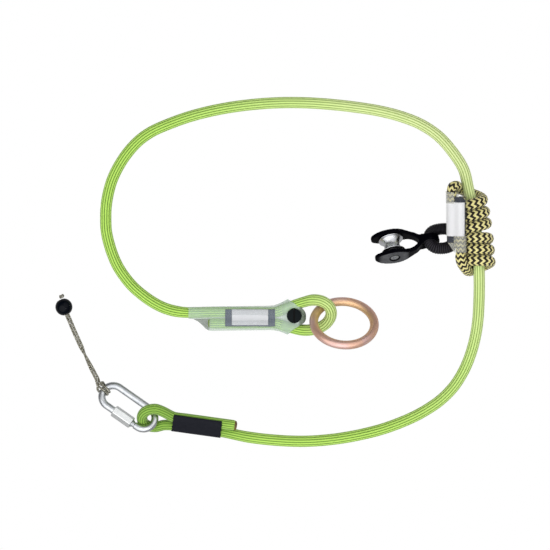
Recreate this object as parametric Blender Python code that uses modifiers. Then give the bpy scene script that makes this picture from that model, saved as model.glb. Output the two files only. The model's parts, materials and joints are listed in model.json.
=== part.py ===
"""Pulley saver: an adjustable friction saver lying flat, built from its separate pieces.

Sizes are in millimetres and become metres where each shape is made. Routes are hand-chosen centre
line points in the same drawing frame, with z up from the floor.
"""

import math

import bmesh
import bpy
import numpy as np
from mathutils import Matrix, Vector

mm = 0.001

# Where the drawing frame's zero lies from the object's own origin.
origin_x = -0.56
origin_y = -1.68

gap = 0.3
thin_gap = 0.2

# Main rope
rope_diameter = 11.0
rope_squeeze = 0.93
rope_sides = 12
rope_turn = 17.5

# Ring end: two stitched strands in a clear sleeve, with a binding screw in the crotch
strand_height = 7.1
strand_y_lower = -14.7
strand_y_upper = -4.1
stitch_clearance = 0.4
stitch_thickness = 0.4
label_thickness = 0.25
sleeve_wall = 0.5
sleeve_edge_reach = 6.1
ring_stitch_x = (-48.2, 0.2)
ring_stitch_y = (-18.0, -1.2)
ring_label_x = (-41.6, -6.6)
ring_label_y = (-16.6, -1.2)
keeper_x = 18.5
keeper_y = -7.5
keeper_head_diameter = 14.2
keeper_head_thickness = 2.0
keeper_shank_diameter = 5.0
keeper_barrel_diameter = 8.0
keeper_slot_width = 1.8
keeper_slot_depth = 0.8
keeper_bore_depth = 9.5
keeper_screw_reach = 9.0
keeper_foot_height = 0.15
keeper_top_height = 14.9

# Steel ring
ring_inner_diameter = 50.0
ring_wire_diameter = 8.5
ring_x = 66.49
ring_y = -14.57
ring_tilt = 45.0
ring_turn = -5.0
ring_floor_gap = 0.05

# Link end
pair_y_step = 8.1
pair_z_step = 6.9
link_stitch_thickness = 0.45
link_stitch_length = 45.6
link_stitch_clearance = 0.45
link_stitch_start = (-96.8, -113.38, 6.2)
link_stitch_heading = -7.85

# Quick link: its own frame has x along it, y across to the nut, z square to its plane
link_wire_diameter = 7.0
link_bow_radius = 10.85
link_length_between_bows = 36.3
link_centre = (-126.61, -105.96, 13.4)
link_heading = 145.3
link_pitch = 8.0
link_roll = 12.0
gate_start = 7.35
gate_width = 8.0
nut_overlap = 1.0
nut_length = 21.2
nut_across_flats = 10.5
nut_chamfer = 0.8

# Pull cord and ball
pull_cord_diameter = 2.3
pull_cord_spacing = 2.8
pull_step = 8.5
pull_turn = 24.0
girth_clearance = 0.35
girth_lean = -3.5
ball_diameter = 16.5
ball_bore_diameter = 5.6
ball_x = -203.7
ball_y = 1.0
cord_heading = -66.8
knot_width = 6.4
knot_length = 4.4
knot_tail_length = 3.2

# Friction hitch: its middle's place and heading on the rope's arc
hitch_diameter = 10.0
hitch_step = 10.0
hitch_turn = 14.5
hitch_x = 193.771
hitch_y = 73.063
arc_radius = 415.0
arc_height = 16.3
hitch_angle = 7.04
wrap_clearance = 0.6
wrap_pitch = 10.9
wrap_start = 5.3
wrap_sway = 0.5
wrap_turns = 2.8
wrap_points = 24
top_lift = 7.0
bottom_lift = 2.0

# Sewn lap of the hitch cord
lap_squeeze = 0.87
lap_centre = (174.2, 83.5, 31.8)
lap_spacing = 9.2
lap_roll = 26.3
lap_rise = 5.3
lap_left_end = -21.8
lap_left_start = 25.5
lap_right_end = 25.6
lap_right_start = -29.6
lap_stitch_thickness = 0.3
lap_stitch_ends = (-20.3, 23.8)
lap_stitch_step = 6.5
lap_stitch_split = 0.6
lap_label_thickness = 0.2
lap_label_ends = (-14.2, 18.6)
lap_sleeve_wall = 0.45
lap_sleeve_ends = (-29.6, 24.6)
lap_sleeve_cut = 16.0
band_steps = 8

# Ribbed sheath on the bight
bight_radius = 10.8
bight_squeeze = 0.84
sheath_rib_diameter = 11.6
sheath_groove_diameter = 10.8
sheath_bore_diameter = 9.5
sheath_pitch = 1.2
bore_step = 6.0
bore_turn = 12.0
sheath_from_x = 170.4

# Pulley: its own frame has p from the axle to the head, c across the cheeks, a along the axle
pulley_axle = (112.84, 59.7, 16.4)
head_reach = 36.5
head_radius = 9.9
head_half_thickness = 3.0
head_hole_diameter = 13.2
head_hole_chamfer = 0.8
cheek_outer = 13.8
cheek_thickness = 4.8
crotch_reach = 26.0
sheave_diameter = 24.0
sheave_throat_diameter = 15.2
sheave_width = 14.2
bush_diameter = 8.0
axle_diameter = 6.0
washer_diameter = 13.0
axle_head_diameter = 8.0
axle_head_thickness = 1.4
axle_nut_thickness = 1.5
axle_recess_depth = 2.2
axle_socket = 3.0
axle_socket_depth = 0.8

# Routes, with the points of the smooth curve between each two
span_points = 10
ring_end_route = [
    (-63.2, strand_y_lower, strand_height), (-41.5, strand_y_lower, strand_height),
    (-20.3, strand_y_lower, strand_height), (0.3, -14.75, strand_height), (9.2, -17.2, 6.9),
    (18.3, -19.9, 6.4), (28.0, -21.4, 6.0), (36.7, -20.8, 6.4), (45.0, -17.9, 8.6),
    (51.3, -12.7, 12.0), (54.2, -5.6, 16.2), (52.1, 1.5, 19.6), (45.8, 6.4, 21.2),
    (37.2, 7.8, 19.4), (28.0, 5.9, 14.6), (18.3, 2.6, 9.9), (9.2, -1.0, 8.0),
    (0.3, -4.05, strand_height), (-20.3, strand_y_upper, strand_height),
    (-41.5, strand_y_upper, strand_height), (-64.7, strand_y_upper, strand_height), (-82.0, -4.5, 6.9),
]
lower_leg_in_sleeve = 8
upper_leg_in_sleeve = 13
ring_end_squeeze = [rope_squeeze] * 6 + [1.0] * 8 + [rope_squeeze] * 8
big_loop_route = [
    (-96.0, -3.1, 6.1), (-107.6, 0.3, 5.7), (-118.4, 5.9, 5.6), (-128.3, 12.9, 5.6), (-137.4, 20.9, 5.6),
    (-145.1, 30.1, 5.6), (-151.6, 40.0, 5.6), (-156.5, 50.9, 5.6), (-160.2, 62.2, 5.6),
    (-162.8, 74.3, 5.6), (-163.4, 86.5, 5.6), (-162.9, 98.7, 5.6), (-160.9, 110.8, 5.6),
    (-157.5, 122.8, 5.6), (-152.4, 134.1, 5.6), (-146.0, 144.7, 5.6), (-138.4, 154.5, 5.6),
    (-129.7, 163.0, 5.6), (-119.6, 169.9, 5.6), (-108.7, 175.1, 5.6), (-86.4, 183.5, 5.6),
    (-64.1, 189.6, 5.6), (-41.0, 194.0, 5.6), (-17.7, 196.8, 5.6), (5.9, 198.2, 5.6), (29.6, 198.1, 5.6),
    (53.0, 196.6, 5.6), (75.9, 194.1, 5.6), (99.1, 190.5, 5.7), (120.1, 185.3, 6.4), (139.9, 177.6, 8.6),
    (156.8, 166.5, 11.8), (169.5, 152.7, 14.6),
]
arc_from_y = 134.0
arc_to_y = -12.0
arc_points = 9
return_route = [
    (192.8, -29.1, 14.6), (188.3, -45.6, 11.6), (181.7, -61.4, 8.4), (172.6, -75.8, 6.4),
    (160.5, -88.3, 5.7), (146.4, -98.2, 5.6), (131.0, -106.4, 5.6), (106.4, -116.0, 5.6),
    (80.9, -122.6, 5.6), (54.6, -126.9, 5.6), (27.9, -128.7, 5.6), (1.1, -127.7, 5.6), (-25.4, -124.7, 5.8),
]
link_main_route = [(-50.7, -119.7, 6.2), (-75.3, -116.35, 6.2), (-98.6, -113.2, 6.2)]
link_eye_route = [
    (-107.6, -113.1, 5.9), (-115.3, -114.8, 5.6), (-122.0, -113.8, 6.3), (-126.8, -110.5, 9.2),
    (-128.2, -105.9, 13.4), (-126.6, -101.4, 17.6), (-122.0, -98.2, 20.6), (-115.2, -97.2, 21.4),
    (-107.9, -99.8, 18.6), (-102.2, -102.9, 14.8),
]
link_tail_route = [
    (-97.5, -105.1, 13.2), (-86.0, -106.7, 13.1), (-74.2, -108.3, 13.1), (-49.6, -111.7, 13.1),
    (-38.1, -113.3, 13.1),
]
top_turn_route = [(170.4, 112.4, 31.6), (171.2, 116.6, 28.4), (172.6, 117.4, 22.6)]
leg_in_route = [
    (180.5, 76.8, 17.4), (175.8, 76.3, 12.9), (170.3, 76.0, 9.4), (164.2, 76.4, 7.0), (158.2, 76.0, 6.35),
]
leg_out_route = [
    (161.2, 57.6, 16.8), (166.0, 58.4, 16.1), (171.3, 60.9, 14.4), (176.4, 64.0, 14.3), (181.6, 66.2, 17.8),
]
bottom_turn_route = [
    (185.1, 32.9, 15.2), (182.8, 34.0, 21.4), (179.2, 38.0, 26.8), (178.0, 45.0, 29.4),
]
pull_cord_route = [
    (-203.7, 1.0, 8.25), (-199.9, -7.9, 8.25), (-193.0, -24.2, 8.1), (-188.0, -35.4, 6.0),
    (-183.8, -44.6, 4.4), (-175.9, -60.6, 4.6), (-172.0, -67.8, 6.4),
]
twist_from = 3
twist_to = 5


def metres(points):
    """Drawing points in millimetres as object points in metres."""
    return (np.asarray(points, float) - (origin_x, origin_y, 0.0)) * mm


def unit(vector):
    vector = np.asarray(vector, float)
    return vector / np.linalg.norm(vector)


def smooth(points, per_span=span_points):
    """A centripetal curve through the hand-chosen points."""
    points = np.asarray(points, float)
    points = np.vstack([2 * points[0] - points[1], points, 2 * points[-1] - points[-2]])
    spans = []
    for p0, p1, p2, p3 in zip(points, points[1:], points[2:], points[3:]):
        t0 = 0.0
        t1 = t0 + np.linalg.norm(p1 - p0) ** 0.5
        t2 = t1 + np.linalg.norm(p2 - p1) ** 0.5
        t3 = t2 + np.linalg.norm(p3 - p2) ** 0.5
        t = np.linspace(t1, t2, per_span, endpoint=False)[:, None]
        a1 = (t1 - t) / (t1 - t0) * p0 + (t - t0) / (t1 - t0) * p1
        a2 = (t2 - t) / (t2 - t1) * p1 + (t - t1) / (t2 - t1) * p2
        a3 = (t3 - t) / (t3 - t2) * p2 + (t - t2) / (t3 - t2) * p3
        b1 = (t2 - t) / (t2 - t0) * a1 + (t - t0) / (t2 - t0) * a2
        b2 = (t3 - t) / (t3 - t1) * a2 + (t - t1) / (t3 - t1) * a3
        spans.append((t2 - t) / (t2 - t1) * b1 + (t - t1) / (t2 - t1) * b2)
    return np.vstack(spans + [points[-2][None]])


def spread(values, per_span=span_points):
    """One value a hand-chosen point as one value a point of the smooth curve."""
    count = len(values)
    return np.interp(np.arange((count - 1) * per_span + 1) / per_span, np.arange(count), values)


def lengths(path):
    return np.r_[0.0, np.cumsum(np.linalg.norm(np.diff(path, axis=0), axis=1))]


def thinned(path, longest, turn, always=()):
    """Indices of the points to keep: one each longest step, or sooner where the heading turns."""
    along = lengths(path)
    headings = np.diff(path, axis=0)
    headings /= np.linalg.norm(headings, axis=1)[:, None]
    kept = [0]
    for index in range(1, len(path) - 1):
        last = kept[-1]
        turned = math.degrees(math.acos(np.clip(headings[last] @ headings[index], -1, 1)))
        if along[index] - along[last] >= longest or turned >= turn or index in always:
            kept.append(index)
    if along[-1] - along[kept[-1]] < 0.3 * longest and len(kept) > 2:
        kept.pop()
    return kept + [len(path) - 1]


def least_gap(path, diameter):
    """The least space between stretches of a tube that aren't neighbours along it."""
    along = lengths(path)
    apart = np.linalg.norm(path[:, None] - path[None], axis=2)
    apart[np.abs(along[:, None] - along[None]) < 2.5 * diameter] = np.inf
    return apart.min() - diameter


def colour(name, base, roughness, metallic=0.0):
    material = bpy.data.materials.new(name)
    material.use_nodes = True
    shader = material.node_tree.nodes["Principled BSDF"]
    shader.inputs["Base Color"].default_value = (*base, 1.0)
    shader.inputs["Roughness"].default_value = roughness
    shader.inputs["Metallic"].default_value = metallic
    material.diffuse_color = (*base, 1.0)
    return material


def frame_of(centre, x_axis, y_axis, z_axis):
    """World matrix with these axes as columns and this drawing point as its centre."""
    matrix = Matrix.Identity(4)
    for column, axis in enumerate((x_axis, y_axis, z_axis)):
        for row in range(3):
            matrix[row][column] = axis[row]
    matrix.translation = Vector(metres(centre))
    return matrix


def level_frame(centre):
    return frame_of(centre, (1, 0, 0), (0, 1, 0), (0, 0, 1))


def frame_about(centre, axis):
    """A frame whose z is the given axis."""
    z_axis = unit(axis)
    side = unit(np.cross(z_axis, (0, 0, 1) if abs(z_axis[2]) < 0.9 else (1, 0, 0)))
    return frame_of(centre, side, np.cross(z_axis, side), z_axis)


def linked(name, data, matrix, helper=False):
    obj = bpy.data.objects.new(name, data)
    (cutters if helper else pieces).objects.link(obj)
    obj.matrix_world = matrix
    if helper:
        obj.hide_render = True
        obj.display_type = "WIRE"
    return obj


def tube_data(name, points, diameter, factors=None, sides=12):
    curve = bpy.data.curves.new(name, "CURVE")
    curve.dimensions = "3D"
    curve.bevel_depth = diameter / 2 * mm
    curve.bevel_resolution = (sides - 4) // 2
    curve.use_fill_caps = True
    spline = curve.splines.new("POLY")
    spline.points.add(len(points) - 1)
    flat = np.c_[metres(points), np.ones(len(points))]
    spline.points.foreach_set("co", flat.ravel())
    spline.points.foreach_set("radius", np.ones(len(points)) if factors is None else factors)
    return curve


def mesh_of(curve_object):
    """The curve's own mesh, with its caps welded on. The curve is removed."""
    bpy.context.view_layer.update()
    graph = bpy.context.evaluated_depsgraph_get()
    mesh = bpy.data.meshes.new_from_object(curve_object.evaluated_get(graph))
    bpy.data.objects.remove(curve_object)
    work = bmesh.new()
    work.from_mesh(mesh)
    bmesh.ops.remove_doubles(work, verts=work.verts, dist=0.001 * mm)
    bmesh.ops.recalc_face_normals(work, faces=work.faces)
    work.to_mesh(mesh)
    work.free()
    return mesh


def tube(name, points, diameter, factors=None, sides=12):
    return linked(name, tube_data(name, points, diameter, factors, sides), Matrix.Identity(4))


def tube_mesh(name, points, diameter, factors=None, sides=12, helper=False):
    data = tube_data(name, points, diameter, factors, sides)
    curve = linked(name + "_line", data, Matrix.Identity(4), True)
    return linked(name, mesh_of(curve), Matrix.Identity(4), helper)


def plate(name, outlines, thickness, matrix, helper=False):
    """Closed outlines in the frame's xy plane, filled and given a thickness along its z."""
    curve = bpy.data.curves.new(name, "CURVE")
    curve.dimensions = "2D"
    curve.fill_mode = "BOTH"
    curve.extrude = thickness / 2 * mm
    for outline in outlines:
        spline = curve.splines.new("POLY")
        spline.points.add(len(outline) - 1)
        flat = np.c_[np.asarray(outline, float) * mm, np.zeros(len(outline)), np.ones(len(outline))]
        spline.points.foreach_set("co", flat.ravel())
        spline.use_cyclic_u = True
    return linked(name, mesh_of(linked(name + "_line", curve, matrix, True)), matrix, helper)


def turned(name, profile, matrix, steps=32, helper=False, closed=False):
    """A profile of (radius, height) turned about the frame's z."""
    mesh = bpy.data.meshes.new(name)
    points = [(radius * mm, 0.0, height * mm) for radius, height in profile]
    edges = [(index, index + 1) for index in range(len(points) - 1)]
    if closed:
        edges.append((len(points) - 1, 0))
    mesh.from_pydata(points, edges, [])
    obj = linked(name, mesh, matrix, helper)
    screw = obj.modifiers.new("turn", "SCREW")
    screw.steps = steps
    screw.render_steps = steps
    screw.use_merge_vertices = True
    screw.merge_threshold = 0.00001
    screw.use_smooth_shade = False
    return obj


def cylinder(name, radius, low, high, matrix, steps=32, helper=False):
    return turned(name, [(0, high), (radius, high), (radius, low), (0, low)], matrix, steps, helper)


def pipe(name, inner, outer, low, high, matrix, steps=32):
    profile = [(inner, high), (outer, high), (outer, low), (inner, low)]
    return turned(name, profile, matrix, steps, closed=True)


def loft(name, rings, helper=False):
    """A closed skin over rings of equal count, in drawing points."""
    work = bmesh.new()
    rows = [[work.verts.new(metres(point)) for point in ring] for ring in rings]
    for row, following in zip(rows, rows[1:]):
        for index in range(len(row)):
            after = (index + 1) % len(row)
            work.faces.new((row[index], row[after], following[after], following[index]))
    work.faces.new(rows[0])
    work.faces.new(rows[-1])
    bmesh.ops.recalc_face_normals(work, faces=work.faces)
    mesh = bpy.data.meshes.new(name)
    work.to_mesh(mesh)
    work.free()
    return linked(name, mesh, Matrix.Identity(4), helper)


def combine(obj, other, operation="DIFFERENCE"):
    modifier = obj.modifiers.new(operation.lower() + " " + other.name, "BOOLEAN")
    modifier.operation = operation
    modifier.solver = "EXACT"
    modifier.object = other


def rounded(obj, angle=40.0):
    """Smooth shading with the corners kept sharp."""
    if obj.type == "MESH":
        obj.data.shade_smooth()
        obj.data.set_sharp_from_angle(angle=math.radians(angle))
    return obj


def arc_outline(radius, start, end, steps, centre=(0.0, 0.0)):
    angles = np.radians(np.linspace(start, end, steps + 1))
    return [(centre[0] + radius * math.cos(a), centre[1] + radius * math.sin(a)) for a in angles]


def band_outline(half, radius, steps):
    """Round-ended outline whose flats, not corners, keep the radius."""
    reach = radius / math.cos(math.pi / 2 / steps)
    right = arc_outline(reach, -90 + 90 / steps, 90 - 90 / steps, steps - 1, (half, 0.0))
    left = arc_outline(reach, 90 + 90 / steps, 270 - 90 / steps, steps - 1, (-half, 0.0))
    return right + left


def strip_outline(half, inner, outer, start, end, steps=6):
    """A strip over two round strands, from an angle on the left one to an angle on the right one."""
    left = (-half, 0.0)
    right = (half, 0.0)
    over = arc_outline(outer, start, 90, steps, left) + arc_outline(outer, 90, end, steps, right)
    under = arc_outline(inner, end, 90, steps, right) + arc_outline(inner, 90, start, steps, left)
    return over + under


def pivot(name, centre, axis, parent=None):
    """An empty on a joint's axis, which is its z."""
    empty = bpy.data.objects.new(name, None)
    pieces.objects.link(empty)
    empty.empty_display_size = 8 * mm
    empty.matrix_world = frame_about(centre, axis)
    hold([empty], parent)
    return empty


def hold(objects, parent):
    if parent is None:
        return
    bpy.context.view_layer.update()
    for obj in objects:
        obj.parent = parent
        obj.matrix_parent_inverse = parent.matrix_world.inverted()


for old in list(bpy.data.objects):
    bpy.data.objects.remove(old)
pieces = bpy.data.collections.new("pulley_saver")
cutters = bpy.data.collections.new("cutters")
cutters.hide_render = True
bpy.context.scene.collection.children.link(pieces)
bpy.context.scene.collection.children.link(cutters)

lime = colour("lime_rope", (0.42, 0.75, 0.08), 0.8)
clear = colour("clear_sleeve", (0.72, 0.78, 0.70), 0.3)
navy = colour("navy_thread", (0.06, 0.08, 0.12), 0.8)
black_thread = colour("black_thread", (0.015, 0.015, 0.02), 0.7)
paper = colour("white_label", (0.86, 0.87, 0.88), 0.6)
gloss_black = colour("gloss_black", (0.01, 0.01, 0.012), 0.15)
zinc = colour("bright_zinc", (0.75, 0.77, 0.79), 0.25, 1.0)
rose = colour("rose_zinc", (0.72, 0.47, 0.38), 0.3, 1.0)
speckled = colour("speckled_cord", (0.32, 0.31, 0.22), 0.85)
zigzag = colour("zigzag_cord", (0.25, 0.23, 0.10), 0.85)
black_rubber = colour("black_sheath", (0.012, 0.012, 0.014), 0.55)
anodised = colour("black_anodised", (0.02, 0.021, 0.025), 0.4, 0.6)
aluminium = colour("silver_sheave", (0.8, 0.8, 0.8), 0.25, 1.0)
bronze = colour("bush_bronze", (0.55, 0.38, 0.18), 0.35, 1.0)
steel = colour("steel", (0.6, 0.6, 0.6), 0.3, 1.0)
nylon = colour("washer_nylon", (0.05, 0.05, 0.06), 0.5)

# Main rope, from the tail at the ring end to the tail at the link end
rope_radius = rope_diameter / 2
strand_radius = rope_radius * rope_squeeze
hitch_middle = math.radians(hitch_angle)
arc_x = hitch_x - arc_radius * math.cos(hitch_middle)
arc_y = hitch_y - arc_radius * math.sin(hitch_middle)
arc_start = math.asin((arc_from_y - arc_y) / arc_radius)
arc_end = math.asin((arc_to_y - arc_y) / arc_radius)
arc_angles = np.linspace(arc_start, arc_end, arc_points)
arc_route = np.c_[
    arc_x + arc_radius * np.cos(arc_angles),
    arc_y + arc_radius * np.sin(arc_angles),
    np.full(arc_points, arc_height),
]
rope_route = np.vstack([
    ring_end_route, big_loop_route, arc_route, return_route,
    link_main_route, link_eye_route, link_tail_route,
])
link_end_count = len(link_main_route) + len(link_eye_route) + len(link_tail_route)
free_count = len(big_loop_route) + arc_points + len(return_route)
rope_factors = spread(ring_end_squeeze + [1.0] * free_count + [rope_squeeze] * link_end_count)
rope_path = smooth(rope_route)
stitch_point = (len(rope_route) - len(link_tail_route) - len(link_eye_route) - 1) * span_points
rope_kept = thinned(rope_path, 2.5 * rope_diameter, rope_turn, (stitch_point,))
rope_points = rope_path[rope_kept]
main_rope = tube("main_rope", rope_points, rope_diameter, rope_factors[rope_kept], rope_sides)
main_rope.data.materials.append(lime)
print("main rope points", len(rope_points), "length", round(lengths(rope_path)[-1], 1))

# Ring end: stitching over and under the two strands, a label, and the clear sleeve around them
pair_middle = (strand_y_lower + strand_y_upper) / 2
pair_half = (strand_y_upper - strand_y_lower) / 2
stitch_inner = strand_radius + stitch_clearance
stitch_outer = stitch_inner + stitch_thickness
label_inner = stitch_outer + thin_gap
label_outer = label_inner + label_thickness


def strand_strip(name, inner, outer, x_range, y_range, material, under=False):
    """A strip laid over the pair of strands, between two distances across them."""
    across = [y - pair_middle for y in y_range]
    start = math.degrees(math.acos(np.clip((across[0] + pair_half) / outer, -1, 1)))
    end = math.degrees(math.acos(np.clip((across[1] - pair_half) / outer, -1, 1)))
    side = -1.0 if under else 1.0
    middle = ((x_range[0] + x_range[1]) / 2, pair_middle, strand_height)
    axes = ((0, 1, 0), (0, 0, side), (side, 0, 0))
    strip = plate(name, [strip_outline(pair_half, inner, outer, start, end)],
                  x_range[1] - x_range[0], frame_of(middle, *axes))
    strip.data.materials.append(material)
    return rounded(strip)


ring_stitching = strand_strip("ring_end_stitching", stitch_inner, stitch_outer, ring_stitch_x,
                              ring_stitch_y, navy)
ring_under = strand_strip("ring_end_stitching_under", stitch_inner, stitch_outer, ring_stitch_x,
                          ring_stitch_y, navy, under=True)
ring_label = strand_strip("ring_end_label", label_inner, label_outer, ring_label_x, ring_label_y, paper)

sleeve_inner = label_outer + thin_gap
sleeve_outer = sleeve_inner + sleeve_wall
# Each station: x, upper edge's y and middle height, lower edge's y and middle height, as seen from above
sleeve_stations = [
    (-83.5, 1.2, 7.1, -10.5, 7.1), (-75.3, 1.3, 7.1, -15.9, 7.1), (-65.6, 1.5, 7.1, -20.6, 7.1),
    (-43.4, 1.7, 7.1, -20.9, 7.1), (-6.8, 2.1, 7.1, -21.1, 7.1), (3.9, 4.8, 7.5, -22.8, 7.1),
    (12.1, 8.7, 8.5, -25.7, 7.1), (18.3, 6.4, 9.4, -23.8, 7.2), (24.1, 1.6, 9.7, -17.4, 7.9),
    (28.5, -3.3, 9.5, -11.9, 8.6),
]
sleeve_rings = []
for x, upper_y, upper_z, lower_y, lower_z in sleeve_stations:
    wide = min(sleeve_edge_reach, (upper_y - lower_y) / 2 - 0.05)
    ring = [(x, upper_y - wide + wide * math.cos(a), upper_z + sleeve_outer * math.sin(a))
            for a in np.radians(np.linspace(-90, 90, 9))]
    ring += [(x, lower_y + wide + wide * math.cos(a), lower_z + sleeve_outer * math.sin(a))
             for a in np.radians(np.linspace(90, 270, 9))]
    sleeve_rings.append(ring)
ring_sleeve = loft("ring_end_sleeve", sleeve_rings)
ring_sleeve.data.materials.append(clear)

# The space for the stitching and label, then the strands and legs themselves
pocket_x = (ring_stitch_x[0] - gap, ring_stitch_x[1] + gap)
pocket_middle = ((pocket_x[0] + pocket_x[1]) / 2, pair_middle, strand_height)
pocket_frame = frame_of(pocket_middle, (0, 1, 0), (0, 0, 1), (1, 0, 0))
pocket_reach = max(ring_stitch_y[1] - pair_middle, pair_middle - ring_stitch_y[0]) + gap
pocket_edge = math.degrees(math.acos((pocket_reach - pair_half) / sleeve_inner))
pocket_top = (arc_outline(sleeve_inner, pocket_edge, 90, 5, (pair_half, 0.0))
              + arc_outline(sleeve_inner, 90, 180 - pocket_edge, 5, (-pair_half, 0.0)))
pocket = plate("sleeve_pocket", [pocket_top + [(-y, -z) for y, z in pocket_top]],
               pocket_x[1] - pocket_x[0], pocket_frame, helper=True)
combine(ring_sleeve, pocket)
strand_spans = ((0, lower_leg_in_sleeve), (upper_leg_in_sleeve, len(ring_end_route) + 2))
for name, (first, last) in zip(("sleeve_bore_lower", "sleeve_bore_upper"), strand_spans):
    kept = [index for index in rope_kept if first * span_points <= index <= last * span_points]
    bore_points = rope_path[kept]
    if first == 0:
        bore_points[0] -= gap * unit(bore_points[1] - bore_points[0])
    bore_factors = (rope_radius * rope_factors[kept] + gap) / (rope_radius + gap)
    bore = tube_mesh(name, bore_points, rope_diameter + 2 * gap, bore_factors, rope_sides, helper=True)
    combine(ring_sleeve, bore)

# Binding screw: a headed barrel from below and a slotted screw from above
keeper_frame = level_frame((keeper_x, keeper_y, 0.0))
keeper_head_radius = keeper_head_diameter / 2
barrel_radius = keeper_barrel_diameter / 2
shank_radius = keeper_shank_diameter / 2
foot_top = keeper_foot_height + keeper_head_thickness
barrel_top = keeper_top_height - gap
keeper_edge = 0.4
barrel_floor = barrel_top - keeper_bore_depth
barrel = turned("keeper_barrel", [
    (0, barrel_floor), (shank_radius + gap, barrel_floor), (shank_radius + gap, barrel_top),
    (barrel_radius, barrel_top), (barrel_radius, foot_top), (keeper_head_radius - keeper_edge, foot_top),
    (keeper_head_radius, foot_top - keeper_edge), (keeper_head_radius, keeper_foot_height + keeper_edge),
    (keeper_head_radius - keeper_edge, keeper_foot_height), (0, keeper_foot_height),
], keeper_frame)
barrel.data.materials.append(gloss_black)
screw_top = keeper_top_height + keeper_head_thickness
shank_end = barrel_top - keeper_screw_reach
screw = turned("keeper_screw", [
    (0, screw_top), (keeper_head_radius - 2 * keeper_edge, screw_top),
    (keeper_head_radius, screw_top - 1.5 * keeper_edge), (keeper_head_radius, keeper_top_height),
    (shank_radius, keeper_top_height), (shank_radius, shank_end), (0, shank_end),
], keeper_frame, steps=40)
slot_side = keeper_slot_width / 2
slot_outline = [(-slot_side, -keeper_head_diameter), (slot_side, -keeper_head_diameter),
                (slot_side, keeper_head_diameter), (-slot_side, keeper_head_diameter)]
slot = plate("screw_slot", [slot_outline], 2 * keeper_slot_depth,
             level_frame((keeper_x, keeper_y, screw_top)), helper=True)
combine(screw, slot)
screw.data.materials.append(gloss_black)
keeper_space = turned("keeper_space", [
    (0, 30.0), (keeper_head_radius + gap, 30.0), (keeper_head_radius + gap, barrel_top - gap),
    (barrel_radius + gap, barrel_top - gap), (barrel_radius + gap, foot_top + gap),
    (keeper_head_radius + gap, foot_top + gap), (keeper_head_radius + gap, -5.0), (0, -5.0),
], keeper_frame, helper=True)
combine(ring_sleeve, keeper_space)

# Steel ring through the eye
ring_wire_radius = ring_wire_diameter / 2
ring_radius = ring_inner_diameter / 2 + ring_wire_radius
tilt = math.radians(ring_tilt)
turn = math.radians(ring_turn)
ring_centre = (ring_x, ring_y, ring_wire_radius + ring_radius * math.sin(tilt) + ring_floor_gap)
ring_major = unit((math.cos(turn), math.sin(turn), 0))
ring_minor = unit((-math.sin(turn) * math.cos(tilt), math.cos(turn) * math.cos(tilt), -math.sin(tilt)))
ring_axis = np.cross(ring_major, ring_minor)
bpy.ops.mesh.primitive_torus_add(major_segments=56, minor_segments=14, major_radius=ring_radius * mm,
                                 minor_radius=ring_wire_radius * mm)
steel_ring = bpy.context.object
steel_ring.name = "steel_ring"
for old_place in list(steel_ring.users_collection):
    old_place.objects.unlink(steel_ring)
pieces.objects.link(steel_ring)
steel_ring.matrix_world = frame_of(ring_centre, ring_major, ring_minor, ring_axis)
steel_ring.data.materials.append(rose)
rounded(steel_ring)

# Stitching at the link end, a channel round the main strand, open on the tail's far side
heading = math.radians(link_stitch_heading)
pair_along = np.array([math.cos(heading), math.sin(heading), 0.0])
pair_across = np.array([-math.sin(heading), math.cos(heading), 0.0])
stitch_middle = np.array(link_stitch_start) + pair_along * link_stitch_length / 2
channel_inner = strand_radius + link_stitch_clearance
channel_outer = channel_inner + link_stitch_thickness
tail_centre = (pair_y_step, pair_z_step)
roll = math.degrees(math.atan2(pair_z_step, pair_y_step))
channel = arc_outline(channel_outer, roll + 25, roll + 90, 4, tail_centre)
channel += arc_outline(channel_outer, roll + 90, roll + 270, 10)
channel += arc_outline(channel_outer, roll + 270, roll + 305, 3, tail_centre)
channel += arc_outline(channel_inner, roll + 305, roll + 270, 3, tail_centre)
channel += arc_outline(channel_inner, roll + 270, roll + 90, 10)
channel += arc_outline(channel_inner, roll + 90, roll + 25, 4, tail_centre)
link_stitching = plate("link_end_stitching", [channel], link_stitch_length,
                       frame_of(stitch_middle, pair_across, (0, 0, 1), pair_along))
link_stitching.data.materials.append(black_thread)
rounded(link_stitching)

# Quick link
plan = math.radians(link_heading)
pitch = math.radians(link_pitch)
lean = math.radians(link_roll)
link_x = np.array([math.cos(plan) * math.cos(pitch), math.sin(plan) * math.cos(pitch), -math.sin(pitch)])
link_side = np.array([-math.sin(plan), math.cos(plan), 0.0])
link_y = unit(math.cos(lean) * link_side + math.sin(lean) * np.cross(link_x, link_side))
link_z = np.cross(link_x, link_y)
link_origin = np.array(link_centre)
wire_radius = link_wire_diameter / 2


def on_link(x, y, z=0.0):
    return link_origin + x * link_x + y * link_y + z * link_z


def bow(middle, start, end):
    """Points round a bow of the link's wire, between two angles."""
    return [on_link(middle + link_bow_radius * math.cos(angle), link_bow_radius * math.sin(angle))
            for angle in np.radians(np.linspace(start, end, 13))]


gate_end = gate_start + gate_width
wire_points = [on_link(gate_end, link_bow_radius)]
wire_points += bow(link_length_between_bows, 90, -90) + bow(0.0, -90, -270)
wire_points.append(on_link(gate_start, link_bow_radius))
link_body = tube("link_body", wire_points, link_wire_diameter, sides=14)
link_body.data.materials.append(zinc)

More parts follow.
